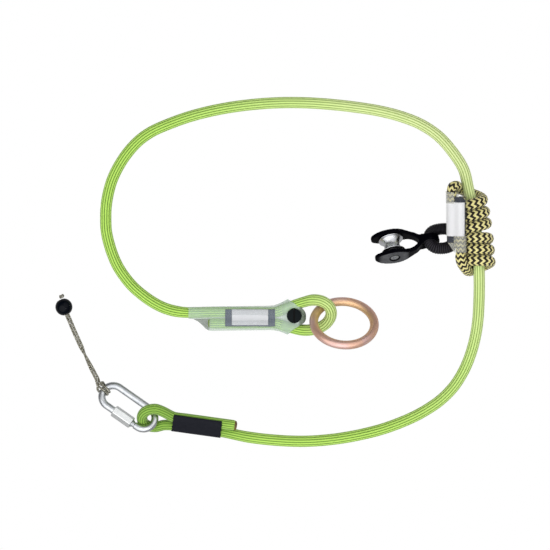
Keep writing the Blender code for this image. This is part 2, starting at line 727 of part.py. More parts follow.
nut_start = gate_start - nut_overlap
nut_corner = nut_across_flats / 2 / math.cos(math.radians(30))
nut_bore = wire_radius + gap
hexagon = [(nut_corner * math.cos(math.radians(a)), nut_corner * math.sin(math.radians(a)))
           for a in range(0, 360, 60)]
nut_middle = on_link(nut_start + nut_length / 2, link_bow_radius)
nut_frame = frame_of(nut_middle, link_y, link_z, link_x)
link_nut = plate("link_nut", [hexagon], nut_length + 4, nut_frame)
half_nut = nut_length / 2
nut_barrel = turned("nut_barrel", [
    (0, half_nut), (nut_corner - nut_chamfer, half_nut), (nut_corner + 0.05, half_nut - nut_chamfer),
    (nut_corner + 0.05, nut_chamfer - half_nut), (nut_corner - nut_chamfer, -half_nut), (0, -half_nut),
], nut_frame, steps=48, helper=True)
combine(link_nut, nut_barrel, "INTERSECT")
nut_hole = cylinder("nut_hole", nut_bore / math.cos(math.pi / 28), -half_nut - 2, half_nut + 2, nut_frame,
                    steps=28, helper=True)
combine(link_nut, nut_hole)
link_nut.data.materials.append(zinc)

# Pull cord: doubled, girth hitched on the link's far bow, through the ball to its knot
cord_radius = pull_cord_diameter / 2
cord_angle = math.radians(cord_heading)
cord_along = np.array([math.cos(cord_angle), math.sin(cord_angle), 0.0])
ball_centre = np.array([ball_x, ball_y, ball_diameter / 2])
cord_middle = smooth([ball_centre - cord_along * (ball_diameter / 2 - gap)] + pull_cord_route, 8)
twist_start = (twist_from + 1) * 8
twist_end = (twist_to + 1) * 8
turned_by = np.pi * np.clip((np.arange(len(cord_middle)) - twist_start) / (twist_end - twist_start), 0, 1)
cord_heading_at = np.gradient(cord_middle, axis=0)
cord_side = np.cross(cord_heading_at, (0, 0, 1.0))
cord_side /= np.linalg.norm(cord_side, axis=1)[:, None]
cord_rise = np.cross(cord_side, cord_heading_at)
cord_rise /= np.linalg.norm(cord_rise, axis=1)[:, None]
offset = np.cos(turned_by)[:, None] * cord_side + np.sin(turned_by)[:, None] * cord_rise
far_bow = on_link(link_length_between_bows, 0.0)
hitch_lean = math.radians(girth_lean)
round_wire = wire_radius + cord_radius + girth_clearance


def on_bow(degrees, out, up):
    """A point by the far bow's wire: angle about the bow, distance out from the wire, height."""
    angle = hitch_lean + math.radians(degrees)
    reach = link_bow_radius + out
    return on_link(link_length_between_bows + reach * math.cos(angle), reach * math.sin(angle), up)


def half_hitch(side):
    """One strand from the standing part, over, behind and under the wire, to the crossing bar."""
    points = [(5.0, 6.9, 1.6), (5.6, 4.8, 2.9), (6.8, 2.7, 4.4), (8.0, 0.0, round_wire), (10.6, -3.6, 3.6),
              (13.6, -round_wire, 0.0), (15.6, -3.6, -3.6), (16.6, 0.0, -round_wire),
              (16.4, 3.7, -3.5), (15.4, round_wire + 0.2, 0.2), (13.2, 5.9, 3.7)]
    return [on_bow(side * angle, out, up) for angle, out, up in points]


strand_a = cord_middle + pull_cord_spacing / 2 * offset
strand_b = cord_middle - pull_cord_spacing / 2 * offset
bow_side = 1.0 if (strand_a[-1] - strand_b[-1]) @ (on_bow(5, 6, 2) - on_bow(-5, 6, 2)) > 0 else -1.0
girth = smooth(np.vstack([
    strand_a[-3:], half_hitch(bow_side), [on_bow(0.0, 6.9, 5.5)],
    half_hitch(-bow_side)[::-1], strand_b[:-4:-1],
]), 6)
pull_path = np.vstack([strand_a[:-3], girth, strand_b[-4::-1]])
pull_kept = thinned(pull_path, pull_step, pull_turn)
pull_cord = tube("pull_cord", pull_path[pull_kept], pull_cord_diameter, sides=8)
pull_cord.data.materials.append(speckled)
print("pull cord points", len(pull_kept), "length", round(lengths(pull_path)[-1], 1),
      "least gap", round(least_gap(pull_path, pull_cord_diameter), 2))

ball_frame = frame_about(ball_centre, cord_along)
bpy.ops.mesh.primitive_uv_sphere_add(segments=28, ring_count=16, radius=ball_diameter / 2 * mm)
ball = bpy.context.object
ball.name = "ball"
for old_place in list(ball.users_collection):
    old_place.objects.unlink(ball)
pieces.objects.link(ball)
ball.matrix_world = ball_frame
ball_bore = cylinder("ball_bore", ball_bore_diameter / 2, -ball_diameter, ball_diameter, ball_frame, 20,
                     helper=True)
combine(ball, ball_bore)
ball.data.materials.append(gloss_black)
rounded(ball)

knot_centre = ball_centre - cord_along * (ball_diameter / 2 + gap + knot_length / 2)
bpy.ops.mesh.primitive_uv_sphere_add(segments=16, ring_count=10, radius=knot_width / 2 * mm)
knot = bpy.context.object
knot.name = "ball_knot"
for old_place in list(knot.users_collection):
    old_place.objects.unlink(knot)
pieces.objects.link(knot)
for vertex in knot.data.vertices:
    vertex.co.z *= knot_length / knot_width
knot.matrix_world = frame_about(knot_centre, cord_along)
tail_side = np.cross(cord_along, (0, 0, 1.0))
for name, side in (("knot_tail_left", 1.0), ("knot_tail_right", -1.0)):
    way = unit(-cord_along * 0.75 + side * tail_side * 0.66)
    tail = cylinder(name, cord_radius, 0.0, knot_width / 2 + knot_tail_length * 0.6,
                    frame_about(knot_centre, way), 8, helper=True)
    combine(knot, tail, "UNION")
knot.data.materials.append(speckled)
rounded(knot)

# Friction hitch
hitch_radius = hitch_diameter / 2
wrap_radius = rope_radius + hitch_radius + wrap_clearance


def on_arc(out, along, height):
    """Points by the rope's arc: distance out from its line, distance along it from the hitch's middle."""
    angle = hitch_middle + along / arc_radius
    reach = arc_radius + out
    return np.c_[arc_x + reach * np.cos(angle), arc_y + reach * np.sin(angle), arc_height + height]


def wraps(side, lift):
    """Turns from the hitch's middle outwards, each passing straight over the rope's front."""
    turns = np.arange(0.1, 0.1 + wrap_turns, 1 / wrap_points)
    last = 0.1 + wrap_turns
    swayed = turns - wrap_sway / (2 * np.pi) * (np.sin(2 * np.pi * (turns - 0.25)) + 1)
    lifted = lift * np.clip((turns - last + 0.55) / 0.5, 0, 1) ** 2
    phase = np.radians(540 - 360 * turns)
    return on_arc(wrap_radius * np.cos(phase), side * (wrap_start + wrap_pitch * swayed + lifted),
                  wrap_radius * np.sin(phase))


rise = math.radians(lap_rise)
cant = math.radians(lap_roll)
lap_along = np.array([0.0, math.cos(rise), math.sin(rise)])
lap_across = np.array([math.cos(cant), -math.sin(cant) * math.sin(rise), math.sin(cant) * math.cos(rise)])
lap_up = np.cross(lap_across, lap_along)
lap_middle = np.array(lap_centre)
lap_half = lap_spacing / 2


def on_lap(across, along):
    return lap_middle + across * lap_across + along * lap_along


pulley_p = unit((0.983, 0.150, -0.1045))
pulley_a = np.array([0.13, -0.86, 0.50])
pulley_a = unit(pulley_a - (pulley_a @ pulley_p) * pulley_p)
pulley_c = np.cross(pulley_a, pulley_p)
axle_centre = np.array(pulley_axle)
head_centre = axle_centre + head_reach * pulley_p
bight_centre = head_centre + (bight_radius - gap) * pulley_p
bight = [bight_centre - bight_radius * (math.cos(b) * pulley_p + math.sin(b) * pulley_a)
         for b in np.radians(np.arange(64, -65, -16))]

upper_wraps = wraps(1.0, top_lift)
lower_wraps = wraps(-1.0, bottom_lift)
left_strand = [on_lap(-lap_half, along) for along in np.linspace(lap_left_end, lap_left_start, 4)]
right_strand = [on_lap(lap_half, along) for along in np.linspace(lap_right_start, lap_right_end, 4)]
hitch_route = np.vstack([
    left_strand, top_turn_route, upper_wraps[::-1], leg_in_route, bight, leg_out_route,
    lower_wraps, bottom_turn_route, right_strand,
])
hitch_squeeze = (
    [lap_squeeze] * 5 + [1.0] * (2 + len(upper_wraps) + 2) + [bight_squeeze] * (3 + len(bight) + 3)
    + [1.0] * (2 + len(lower_wraps) + 4) + [lap_squeeze] * 4
)
hitch_path = smooth(hitch_route, 4)
hitch_factors = spread(hitch_squeeze, 4)
sheath_start = 4 * (len(left_strand) + len(top_turn_route) + len(upper_wraps) + 2)
sheath_end = sheath_start + 4 * (3 + len(bight) + 2)
hitch_kept = thinned(hitch_path, hitch_step, hitch_turn, (sheath_start, sheath_end))
hitch_cord = tube("hitch_cord", hitch_path[hitch_kept], hitch_diameter, hitch_factors[hitch_kept], sides=6)
hitch_cord.data.materials.append(zigzag)
wound = smooth(np.vstack([top_turn_route, upper_wraps[::-1], leg_in_route]), 2)
unwound = smooth(np.vstack([leg_out_route, lower_wraps, bottom_turn_route]), 2)
print("hitch cord points", len(hitch_kept), "length", round(lengths(hitch_path)[-1], 1),
      "least gap upper", round(least_gap(wound, hitch_diameter), 2),
      "lower", round(least_gap(unwound, hitch_diameter), 2),
      "whole, squeezed lap", round(least_gap(hitch_path, hitch_diameter * lap_squeeze), 2))

# Sewn lap: stitching band, label and clear sleeve round the two strands
lap_strand_radius = hitch_radius * lap_squeeze
lap_stitch_inner = lap_strand_radius + thin_gap
lap_stitch_outer = lap_stitch_inner + lap_stitch_thickness
lap_label_inner = lap_stitch_outer + thin_gap
lap_label_outer = lap_label_inner + lap_label_thickness
lap_sleeve_inner = lap_label_outer + thin_gap
lap_sleeve_outer = lap_sleeve_inner + lap_sleeve_wall


def lap_frame(ends):
    return frame_of(on_lap(0.0, (ends[0] + ends[1]) / 2), lap_across, lap_up, -lap_along)


def lap_band(name, inner, outer, ends, material):
    band = plate(name, [band_outline(lap_half, outer, band_steps), band_outline(lap_half, inner, band_steps)],
                 ends[1] - ends[0], lap_frame(ends))
    band.data.materials.append(material)
    return rounded(band)


def lap_block(name, left, right, ends):
    """A block across part of the lap, as a cutter."""
    tall = 3 * lap_sleeve_outer
    return plate(name, [[(left, -tall), (right, -tall), (right, tall), (left, tall)]], ends[1] - ends[0],
                 lap_frame(ends), helper=True)


lap_stitching = lap_band("hitch_stitching", lap_stitch_inner, lap_stitch_outer, lap_stitch_ends, navy)
far = 4 * lap_half
stitch_low, stitch_high = lap_stitch_ends
top_step = (stitch_high - lap_stitch_step, stitch_high + 2)
bottom_step = (stitch_low - 2, stitch_low + lap_stitch_step)
combine(lap_stitching, lap_block("stitch_step_top", -far, -lap_stitch_split, top_step))
combine(lap_stitching, lap_block("stitch_step_bottom", lap_stitch_split, far, bottom_step))
lap_label = plate("hitch_label", [strip_outline(lap_half, lap_label_inner, lap_label_outer, 150.0, 38.0)],
                  lap_label_ends[1] - lap_label_ends[0], lap_frame(lap_label_ends))
lap_label.data.materials.append(paper)
rounded(lap_label)
lap_sleeve = lap_band("hitch_sleeve", lap_sleeve_inner, lap_sleeve_outer, lap_sleeve_ends, clear)
sleeve_low = lap_sleeve_ends[0]
sleeve_side = lap_half + lap_sleeve_outer
cut_outline = [(-sleeve_side - 1, sleeve_low - 3), (0.5, sleeve_low - 3), (0.5, sleeve_low),
               (-sleeve_side - 1, sleeve_low + lap_sleeve_cut)]
cut_frame = frame_of(lap_middle, lap_across, lap_along, np.cross(lap_across, lap_along))
corner_cut = plate("sleeve_corner_cut", [cut_outline], 6 * lap_sleeve_outer, cut_frame, helper=True)
combine(lap_sleeve, corner_cut)

# Ribbed sheath on the bight
sheath_source = smooth(np.vstack([leg_in_route, bight, leg_out_route]), 12)
crest = int(np.argmin(sheath_source[:, 0]))
first = int(np.argmin(np.abs(sheath_source[:crest, 0] - sheath_from_x)))
last = crest + int(np.argmin(np.abs(sheath_source[crest:, 0] - sheath_from_x)))
sheath_line = sheath_source[first:last + 1]
sheath_along = lengths(sheath_line)
rib_count = int(sheath_along[-1] / sheath_pitch)
marks = np.linspace(0, sheath_along[-1], 2 * rib_count)
sheath_points = np.c_[[np.interp(marks, sheath_along, sheath_line[:, axis]) for axis in range(3)]].T
rib_factors = np.where(np.arange(len(marks)) % 2 == 0, 1.0, sheath_groove_diameter / sheath_rib_diameter)
sheath = tube_mesh("bight_sheath", sheath_points, sheath_rib_diameter, rib_factors, sides=8)
bore_line = sheath_source[max(first - 8, 0):last + 9]
sheath_bore = tube_mesh("sheath_bore", bore_line[thinned(bore_line, bore_step, bore_turn)],
                        sheath_bore_diameter, sides=8, helper=True)
combine(sheath, sheath_bore)
sheath.data.materials.append(black_rubber)
print("sheath ribs", rib_count, "length", round(sheath_along[-1], 1))

# Pulley body: one forked piece, its cheeks' outline along the axle and its side view across it
axle_frame = frame_of(axle_centre, pulley_p, pulley_c, pulley_a)
cheek_edge = [
    (-18.7, 1.4), (-18.1, 3.2), (-16.4, 5.0), (-13.2, 6.7), (-8.0, 8.5), (-3.5, 9.5), (0.0, 9.8), (4.0, 9.5),
    (8.0, 8.5), (12.0, 6.9), (15.0, 5.6), (18.0, 4.6), (21.0, 4.1), (24.0, 4.2), (26.6, 4.7),
]
head_edge = arc_outline(head_radius, 146, 10, 8, (head_reach, 0.0))
upper_edge = cheek_edge + head_edge
body_outline = upper_edge + [(p, -c) for p, c in reversed(upper_edge)]
pulley_body = plate("pulley_body", [body_outline], 2 * cheek_outer, axle_frame)
outer_side = [
    (-22.0, 11.6), (-18.7, 12.2), (-13.0, 13.3), (-8.5, cheek_outer), (8.0, cheek_outer), (13.0, 13.2),
    (18.0, 11.6), (22.0, 9.9), (25.5, 8.0), (28.5, 5.9), (31.0, 4.1), (33.5, head_half_thickness),
    (50.0, head_half_thickness),
]
side_frame = frame_of(axle_centre, pulley_p, pulley_a, -pulley_c)
side_view = plate("pulley_side_view", [outer_side + [(p, -a) for p, a in reversed(outer_side)]],
                  60.0, side_frame, helper=True)
combine(pulley_body, side_view, "INTERSECT")
cheek_inner = cheek_outer - cheek_thickness
inner_side = [
    (-30.0, cheek_inner), (11.0, cheek_inner), (16.0, 7.9), (20.0, 6.1), (23.3, 3.9), (25.2, 1.9),
    (crotch_reach, 0.6),
]
fork_gap = plate("pulley_fork_gap", [inner_side + [(p, -a) for p, a in reversed(inner_side)]],
                 60.0, side_frame, helper=True)
combine(pulley_body, fork_gap)
head_frame = frame_of(head_centre, pulley_p, pulley_c, pulley_a)
hole_radius = head_hole_diameter / 2
head_hole = turned("head_hole", [
    (0, 12.0), (hole_radius + 12.0 - head_half_thickness + head_hole_chamfer, 12.0),
    (hole_radius, head_half_thickness - head_hole_chamfer),
    (hole_radius, head_hole_chamfer - head_half_thickness),
    (hole_radius + 12.0 - head_half_thickness + head_hole_chamfer, -12.0), (0, -12.0),
], head_frame, steps=28, helper=True)
combine(pulley_body, head_hole)
axle_radius = axle_diameter / 2
axle_hole_radius = axle_radius + thin_gap
recess_radius = axle_head_diameter / 2 + gap
recess_floor = cheek_outer - axle_recess_depth
axle_hole = turned("axle_hole", [
    (0, cheek_outer + 2), (recess_radius, cheek_outer + 2), (recess_radius, recess_floor),
    (axle_hole_radius, recess_floor), (axle_hole_radius, -recess_floor), (recess_radius, -recess_floor),
    (recess_radius, -cheek_outer - 2), (0, -cheek_outer - 2),
], axle_frame, steps=24, helper=True)
combine(pulley_body, axle_hole)
pulley_body.data.materials.append(anodised)

# Sheave on its bush, between two washers, on the axle
half_width = sheave_width / 2
sheave_radius = sheave_diameter / 2
throat = sheave_throat_diameter / 2
bush_outer = bush_diameter / 2
groove = [
    (throat + (sheave_radius - throat) * (1 - math.cos(math.radians(a))) ** 0.85,
     -0.9 * half_width * math.sin(math.radians(a)))
    for a in range(-82, 83, 16)
]
rim = [(bush_outer + thin_gap, half_width), (sheave_radius - 1.0, half_width),
       (sheave_radius - 0.3, half_width - 0.3)]
sheave_profile = rim + groove + [(radius, -height) for radius, height in reversed(rim)]
sheave = turned("sheave", sheave_profile, axle_frame, steps=44, closed=True)
sheave.data.materials.append(aluminium)
bush = pipe("sheave_bush", axle_radius + thin_gap, bush_outer, -half_width, half_width, axle_frame, 24)
bush.data.materials.append(bronze)
washer_low = half_width + gap
washer_high = cheek_inner - gap
washer_places = (("sheave_washer_near", washer_low, washer_high),
                 ("sheave_washer_far", -washer_high, -washer_low))
washers = []
for name, low, high in washer_places:
    washer = pipe(name, axle_radius + thin_gap, washer_diameter / 2, low, high, axle_frame, 28)
    washer.data.materials.append(nylon)
    washers.append(washer)
head_low = recess_floor + gap
axle_end = head_low + axle_head_thickness
axle = turned("axle", [
    (0, head_low + axle_head_thickness), (axle_head_diameter / 2, head_low + axle_head_thickness),
    (axle_head_diameter / 2, head_low), (axle_radius, head_low), (axle_radius, -axle_end), (0, -axle_end),
], axle_frame, steps=24)
socket_corner = axle_socket / 2 / math.cos(math.radians(30))
socket = cylinder("axle_socket_cut", socket_corner, head_low + axle_head_thickness - axle_socket_depth,
                  head_low + axle_head_thickness + 2, axle_frame, 6, helper=True)
combine(axle, socket)
axle.data.materials.append(steel)
axle_nut = pipe("axle_nut", axle_radius + thin_gap, axle_head_diameter / 2,
                -(head_low + axle_nut_thickness), -head_low, axle_frame, 24)
axle_nut.data.materials.append(steel)

# Joints: an empty on each axis, with the pieces that move about it
swing_axis = -pulley_a
ring_pivot = pivot("ring_turn", ring_centre, ring_axis)
hold([steel_ring], ring_pivot)
link_pivot = pivot("link_swing", link_origin, link_z)
hold([link_body], link_pivot)
nut_pivot = pivot("nut_slide", nut_middle, link_x, link_pivot)
hold([link_nut], nut_pivot)
cord_pivot = pivot("cord_swing", far_bow, link_z, link_pivot)
hold([pull_cord, knot], cord_pivot)
ball_pivot = pivot("ball_slide", ball_centre, cord_along, cord_pivot)
hold([ball], ball_pivot)
hitch_pivot = pivot("hitch_slide", (arc_x, arc_y, arc_height), (0, 0, 1))
hold([hitch_cord, lap_stitching, lap_label, lap_sleeve, sheath], hitch_pivot)
pulley_pivot = pivot("pulley_swing", head_centre, swing_axis, hitch_pivot)
hold([pulley_body, axle, axle_nut] + washers, pulley_pivot)
sheave_pivot = pivot("sheave_spin", axle_centre, pulley_a, pulley_pivot)
hold([sheave, bush], sheave_pivot)
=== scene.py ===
import json
import math

import bpy
import numpy as np
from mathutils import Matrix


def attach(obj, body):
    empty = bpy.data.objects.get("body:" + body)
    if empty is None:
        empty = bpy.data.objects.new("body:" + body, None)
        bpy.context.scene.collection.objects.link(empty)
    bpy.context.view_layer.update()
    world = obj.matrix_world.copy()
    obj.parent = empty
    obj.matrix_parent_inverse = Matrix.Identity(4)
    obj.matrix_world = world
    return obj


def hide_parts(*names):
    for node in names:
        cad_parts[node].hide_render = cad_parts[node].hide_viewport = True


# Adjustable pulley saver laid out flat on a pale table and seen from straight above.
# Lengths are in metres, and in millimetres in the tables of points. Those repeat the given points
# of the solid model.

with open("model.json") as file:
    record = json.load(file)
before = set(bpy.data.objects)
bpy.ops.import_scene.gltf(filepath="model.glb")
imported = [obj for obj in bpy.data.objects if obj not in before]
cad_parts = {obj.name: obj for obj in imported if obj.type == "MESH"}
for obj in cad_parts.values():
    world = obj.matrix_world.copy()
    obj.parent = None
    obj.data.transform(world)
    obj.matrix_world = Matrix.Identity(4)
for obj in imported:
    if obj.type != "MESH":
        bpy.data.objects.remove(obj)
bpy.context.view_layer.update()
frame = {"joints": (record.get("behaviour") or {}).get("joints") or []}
joints = {joint["name"]: joint for joint in frame["joints"]}
up = np.array((0.0, 0.0, 1.0))


def jointPoint(name):
    return np.array(joints[name]["pos_m"], float)


def jointAxis(name):
    return unit(joints[name]["axis"])


def unit(vectors):
    vectors = np.asarray(vectors, float)
    return vectors / np.linalg.norm(vectors, axis=-1, keepdims=True)


def millimetres(points):
    return (np.array(points) / 1000).tolist()


def srgb(red, green, blue):
    # A colour as it looks on screen, 0 to 255, turned into light
    share = np.array((red, green, blue)) / 255
    return tuple(np.where(share <= 0.04045, share / 12.92, ((share + 0.055) / 1.055) ** 2.4))


# Camera, light and table

view = {"centreX": 0.00056, "centreY": 0.033525, "span": 0.53075, "height": 6.0, "focus": 0.008, "sensor": 36,
        "clip": 60}
# Each lamp: strength, angle and the tilts about x and y, in degrees
light = {"lamps": {"keyLamp": (1.58, 88, 26, -24), "fillLamp": (0.52, 70, -30, 38),
                   "glintLamp": (0.12, 7, 21, 32)},
         "towards": (0.06, -0.22, 0.97), "stops": ((0.0, 0.11), (0.25, 0.11), (0.62, 0.50), (1.0, 0.92)),
         "table": 0.9, "tableHalf": 20, "white": 1.0, "mirrored": 0.50}


def addObject(name, data):
    made = bpy.data.objects.new(name, data)
    bpy.context.scene.collection.objects.link(made)
    return made


def makeCamera():
    data = bpy.data.cameras.new("overheadCamera")
    data.sensor_width = view["sensor"]
    data.lens = view["sensor"] * (view["height"] - view["focus"]) / view["span"]
    data.clip_end = view["clip"]
    camera = addObject("overheadCamera", data)
    camera.location = (view["centreX"], view["centreY"], view["height"])
    bpy.context.scene.camera = camera
    bpy.context.scene.view_settings.view_transform = "Standard"


def makeLight():
    # Two broad soft lamps, a small one for glints, and a room that is brightest a little before overhead
    for name, (strength, angle, tiltX, tiltY) in light["lamps"].items():
        data = bpy.data.lights.new(name, "SUN")
        data.energy = strength
        data.angle = math.radians(angle)
        addObject(name, data).rotation_euler = (math.radians(tiltX), math.radians(tiltY), 0)
    world = bpy.data.worlds.new("studio")
    bpy.context.scene.world = world
    world.use_nodes = True
    studio = Shading(world.node_tree, "Background")
    facing = studio.vector("DOT_PRODUCT", studio.node("ShaderNodeTexCoord", {}, {}, "Generated"),
                           unit(light["towards"]))
    studio.feed("Color", studio.node("ShaderNodeValToRGB", {"stops": light["stops"]}, [facing]))


# Shader sums

def mathNode(operation):
    return lambda value, *others: value.shading.node("ShaderNodeMath", {"operation": operation},
                                                     (value,) + others)


class Sum:
    # A socket that takes part in sums: each operator adds its Math node
    def __init__(self, shading, socket):
        self.shading = shading
        self.socket = socket

    __add__ = __radd__ = mathNode("ADD")
    __mul__ = __rmul__ = mathNode("MULTIPLY")
    __sub__ = mathNode("SUBTRACT")
    __truediv__ = mathNode("DIVIDE")
    __pow__ = mathNode("POWER")
    fraction = mathNode("FRACT")
    whole = mathNode("FLOOR")
    sine = mathNode("SINE")
    size = mathNode("ABSOLUTE")
    most = mathNode("MAXIMUM")

    def __rsub__(self, other):
        return self.shading.node("ShaderNodeMath", {"operation": "SUBTRACT"}, (other, self))

    def rise(self, low, high):
        # 0 below low, 1 above high, smooth between
        smooth = {"interpolation_type": "SMOOTHSTEP"}
        return self.shading.node("ShaderNodeMapRange", smooth, (self, low, high))


class Shading:
    # A tree of nodes that ends in one shader
    def __init__(self, tree, shader):
        self.tree = tree
        self.shader = tree.nodes[shader]

    def link(self, target, value):
        if isinstance(value, Sum):
            self.tree.links.new(value.socket, target)
        elif target.type == "RGBA" and len(value) == 3:
            target.default_value = (*value, 1)
        else:
            target.default_value = value

    def feed(self, socket, value):
        self.link(self.shader.inputs[socket], value)

    def node(self, kind, settings, inputs, output=0):
        made = self.tree.nodes.new(kind)
        for key, value in settings.items():
            if key == "stops":
                for position, _ in value[1:-1]:
                    made.color_ramp.elements.new(position)
                for stop, (_, tone) in zip(made.color_ramp.elements, value):
                    stop.color = (tone, tone, tone, 1)
            else:
                setattr(made, key, value)
        for key, value in (inputs.items() if isinstance(inputs, dict) else enumerate(inputs)):
            self.link(made.inputs[key], value)
        return Sum(self, made.outputs[output])

    def vector(self, operation, first, second):
        # A number from two vectors
        return self.node("ShaderNodeVectorMath", {"operation": operation}, [first, tuple(second)], "Value")


class Finish(Shading):
    # One material: the shader's own sockets first, then the nodes that vary over the surface
    def __init__(self, name, **fixed):
        self.material = bpy.data.materials.new(name)
        self.material.use_nodes = True
        super().__init__(self.material.node_tree, "Principled BSDF")
        for socket, value in fixed.items():
            self.feed(socket.replace("_", " "), value)

    def colour(self, value):
        self.feed("Base Color", value)

    def rough(self, value):
        self.feed("Roughness", value)

    def mix(self, share, first, second):
        return self.node("ShaderNodeMix", {"data_type": "RGBA"}, {0: share, 6: first, 7: second}, 2)

    def split(self, vector):
        # The x and y of a vector
        return [self.node("ShaderNodeSeparateXYZ", {}, [vector], k) for k in (0, 1)]

    def joined(self, x, y):
        return self.node("ShaderNodeCombineXYZ", {}, [x, y, 0.0])

    def weave(self):
        # Distance along in metres and turns around, from the piece's own map
        return self.split(self.node("ShaderNodeUVMap", {"uv_map": "weave"}, {}))

    def place(self):
        return self.node("ShaderNodeTexCoord", {}, {}, "Object")

    def reach(self, origin, direction):
        # How far a point lies from the origin along the direction
        return self.vector("DOT_PRODUCT", self.place(), direction) - float(np.dot(origin, direction))

    def away(self, origin):
        return self.vector("DISTANCE", self.place(), origin)

    def noise(self, scale, detail, vector=None):
        vector = self.place() if vector is None else vector
        return self.node("ShaderNodeTexNoise", {}, {"Vector": vector, "Scale": scale, "Detail": detail})

    def bump(self, height, distance, strength):
        sockets = {"Height": height, "Distance": distance, "Strength": strength}
        self.feed("Normal", self.node("ShaderNodeBump", {}, sockets))


def cloudyFinish(name, scale, detail, swing, low, colours=None, **fixed):
    # One colour, or two in clouds, and a roughness that follows the same clouds: low + swing * cloud
    finish = Finish(name, **fixed)
    cloud = finish.noise(scale, detail)
    if colours:
        finish.colour(finish.mix(cloud, *colours))
    finish.rough(cloud * swing + low)
    return finish


def makeTable():
    # Lit like any table, but seen by the camera, mirrors and clear film as an even white
    finish = Finish("paleTable", Base_Color=(light["table"],) * 3, Roughness=0.9, Specular_IOR_Level=0.0)
    camera, glossy, clear = (finish.node("ShaderNodeLightPath", {}, {}, kind)
                             for kind in ("Is Camera Ray", "Is Glossy Ray", "Is Transmission Ray"))
    tone = finish.mix(glossy, (light["white"],) * 3, (light["mirrored"],) * 3)
    white = finish.node("ShaderNodeEmission", {}, {"Color": tone})
    lit = Sum(finish, finish.shader.outputs[0])
    seen = finish.node("ShaderNodeMixShader", {}, [camera.most(glossy).most(clear), lit, white])
    finish.link(finish.tree.nodes["Material Output"].inputs["Surface"], seen)
    half = light["tableHalf"]
    mesh = bpy.data.meshes.new("table")
    corners = [(-half, -half, 0), (half, -half, 0), (half, half, 0), (-half, half, 0)]
    mesh.from_pydata(corners, [], [(0, 1, 2, 3)])
    mesh.materials.append(finish.material)
    table = addObject("table", mesh)


# Surfaces

def smoothCurve(points, perSpan=12):
    # Centripetal curve through given points, every span worked out at once
    points = np.asarray(points, float)
    padded = np.vstack([2 * points[0] - points[1], points, 2 * points[-1] - points[-2]])
    p0, p1, p2, p3 = (padded[k:len(padded) - 3 + k, None] for k in range(4))
    t1 = np.linalg.norm(p1 - p0, axis=2, keepdims=True) ** 0.5
    t2 = t1 + np.linalg.norm(p2 - p1, axis=2, keepdims=True) ** 0.5
    t3 = t2 + np.linalg.norm(p3 - p2, axis=2, keepdims=True) ** 0.5
    t = t1 + (t2 - t1) * np.linspace(0, 1, perSpan, endpoint=False)[None, :, None]
    a1 = p0 + (p1 - p0) * t / t1
    a2 = p1 + (p2 - p1) * (t - t1) / (t2 - t1)
    a3 = p2 + (p3 - p2) * (t - t2) / (t3 - t2)
    b1 = a1 + (a2 - a1) * t / t2
    b2 = a2 + (a3 - a2) * (t - t1) / (t3 - t1)
    return np.vstack([(b1 + (b2 - b1) * (t - t1) / (t2 - t1)).reshape(-1, 3), points[-1:]])


def travelled(points):
    # How far each point is along the line, from its first
    return np.r_[0.0, np.cumsum(np.linalg.norm(np.diff(points, axis=0), axis=1))]


def spokes(turns, side, rise):
    # Unit steps away from the middle: cos * side + sin * rise
    return np.cos(turns)[..., None] * side + np.sin(turns)[..., None] * rise


def placed(axes, *amounts):
    # An origin and its axes with one amount for each: origin + the sum of amount * axis
    return axes[0] + sum(np.asarray(amount)[..., None] * axis for amount, axis in zip(amounts, axes[1:]))


def spread(values, perSpan=12):
    # One value a given point as one value a point of the smooth curve
    return np.interp(np.arange((len(values) - 1) * perSpan + 1) / perSpan, np.arange(len(values)), values)


def evenSteps(path, step, values=None):
    # The same line with its points evenly spaced, the distance along it, and a value carried along
    along = travelled(path)
    marks = np.linspace(0, along[-1], int(along[-1] / step) + 1)
    line = np.stack([np.interp(marks, along, path[:, k]) for k in range(3)], axis=1)
    return line, marks, np.ones(len(marks)) if values is None else np.interp(marks, along, values)


def carriedAxes(path, firstSide):
    # Two axes across the line at each of its points, carried along it without twist
    heading = unit(np.gradient(path, axis=0))
    side = np.empty_like(path)
    last = np.asarray(firstSide, float)
    for index, along in enumerate(heading):
        last = last - (last @ along) * along
        last = last / math.sqrt(last @ last)
        side[index] = last
    return side, np.cross(heading, side)


def aboutLine(path, radius, turns, firstSide):
    # Points at radius(row, column) from the line: line + radius * (cos * side + sin * rise)
    side, rise = carriedAxes(path, firstSide)
    return path[:, None] + radius[..., None] * spokes(turns, side[:, None], rise[:, None])


def fullTurn(count):
    return np.linspace(0, 2 * np.pi, count, endpoint=False)


def acrossAxes(axis):
    axis = unit(axis)
    side = unit(np.cross(axis, up if abs(axis[2]) < 0.9 else (1.0, 0.0, 0.0)))
    return side, np.cross(axis, side)


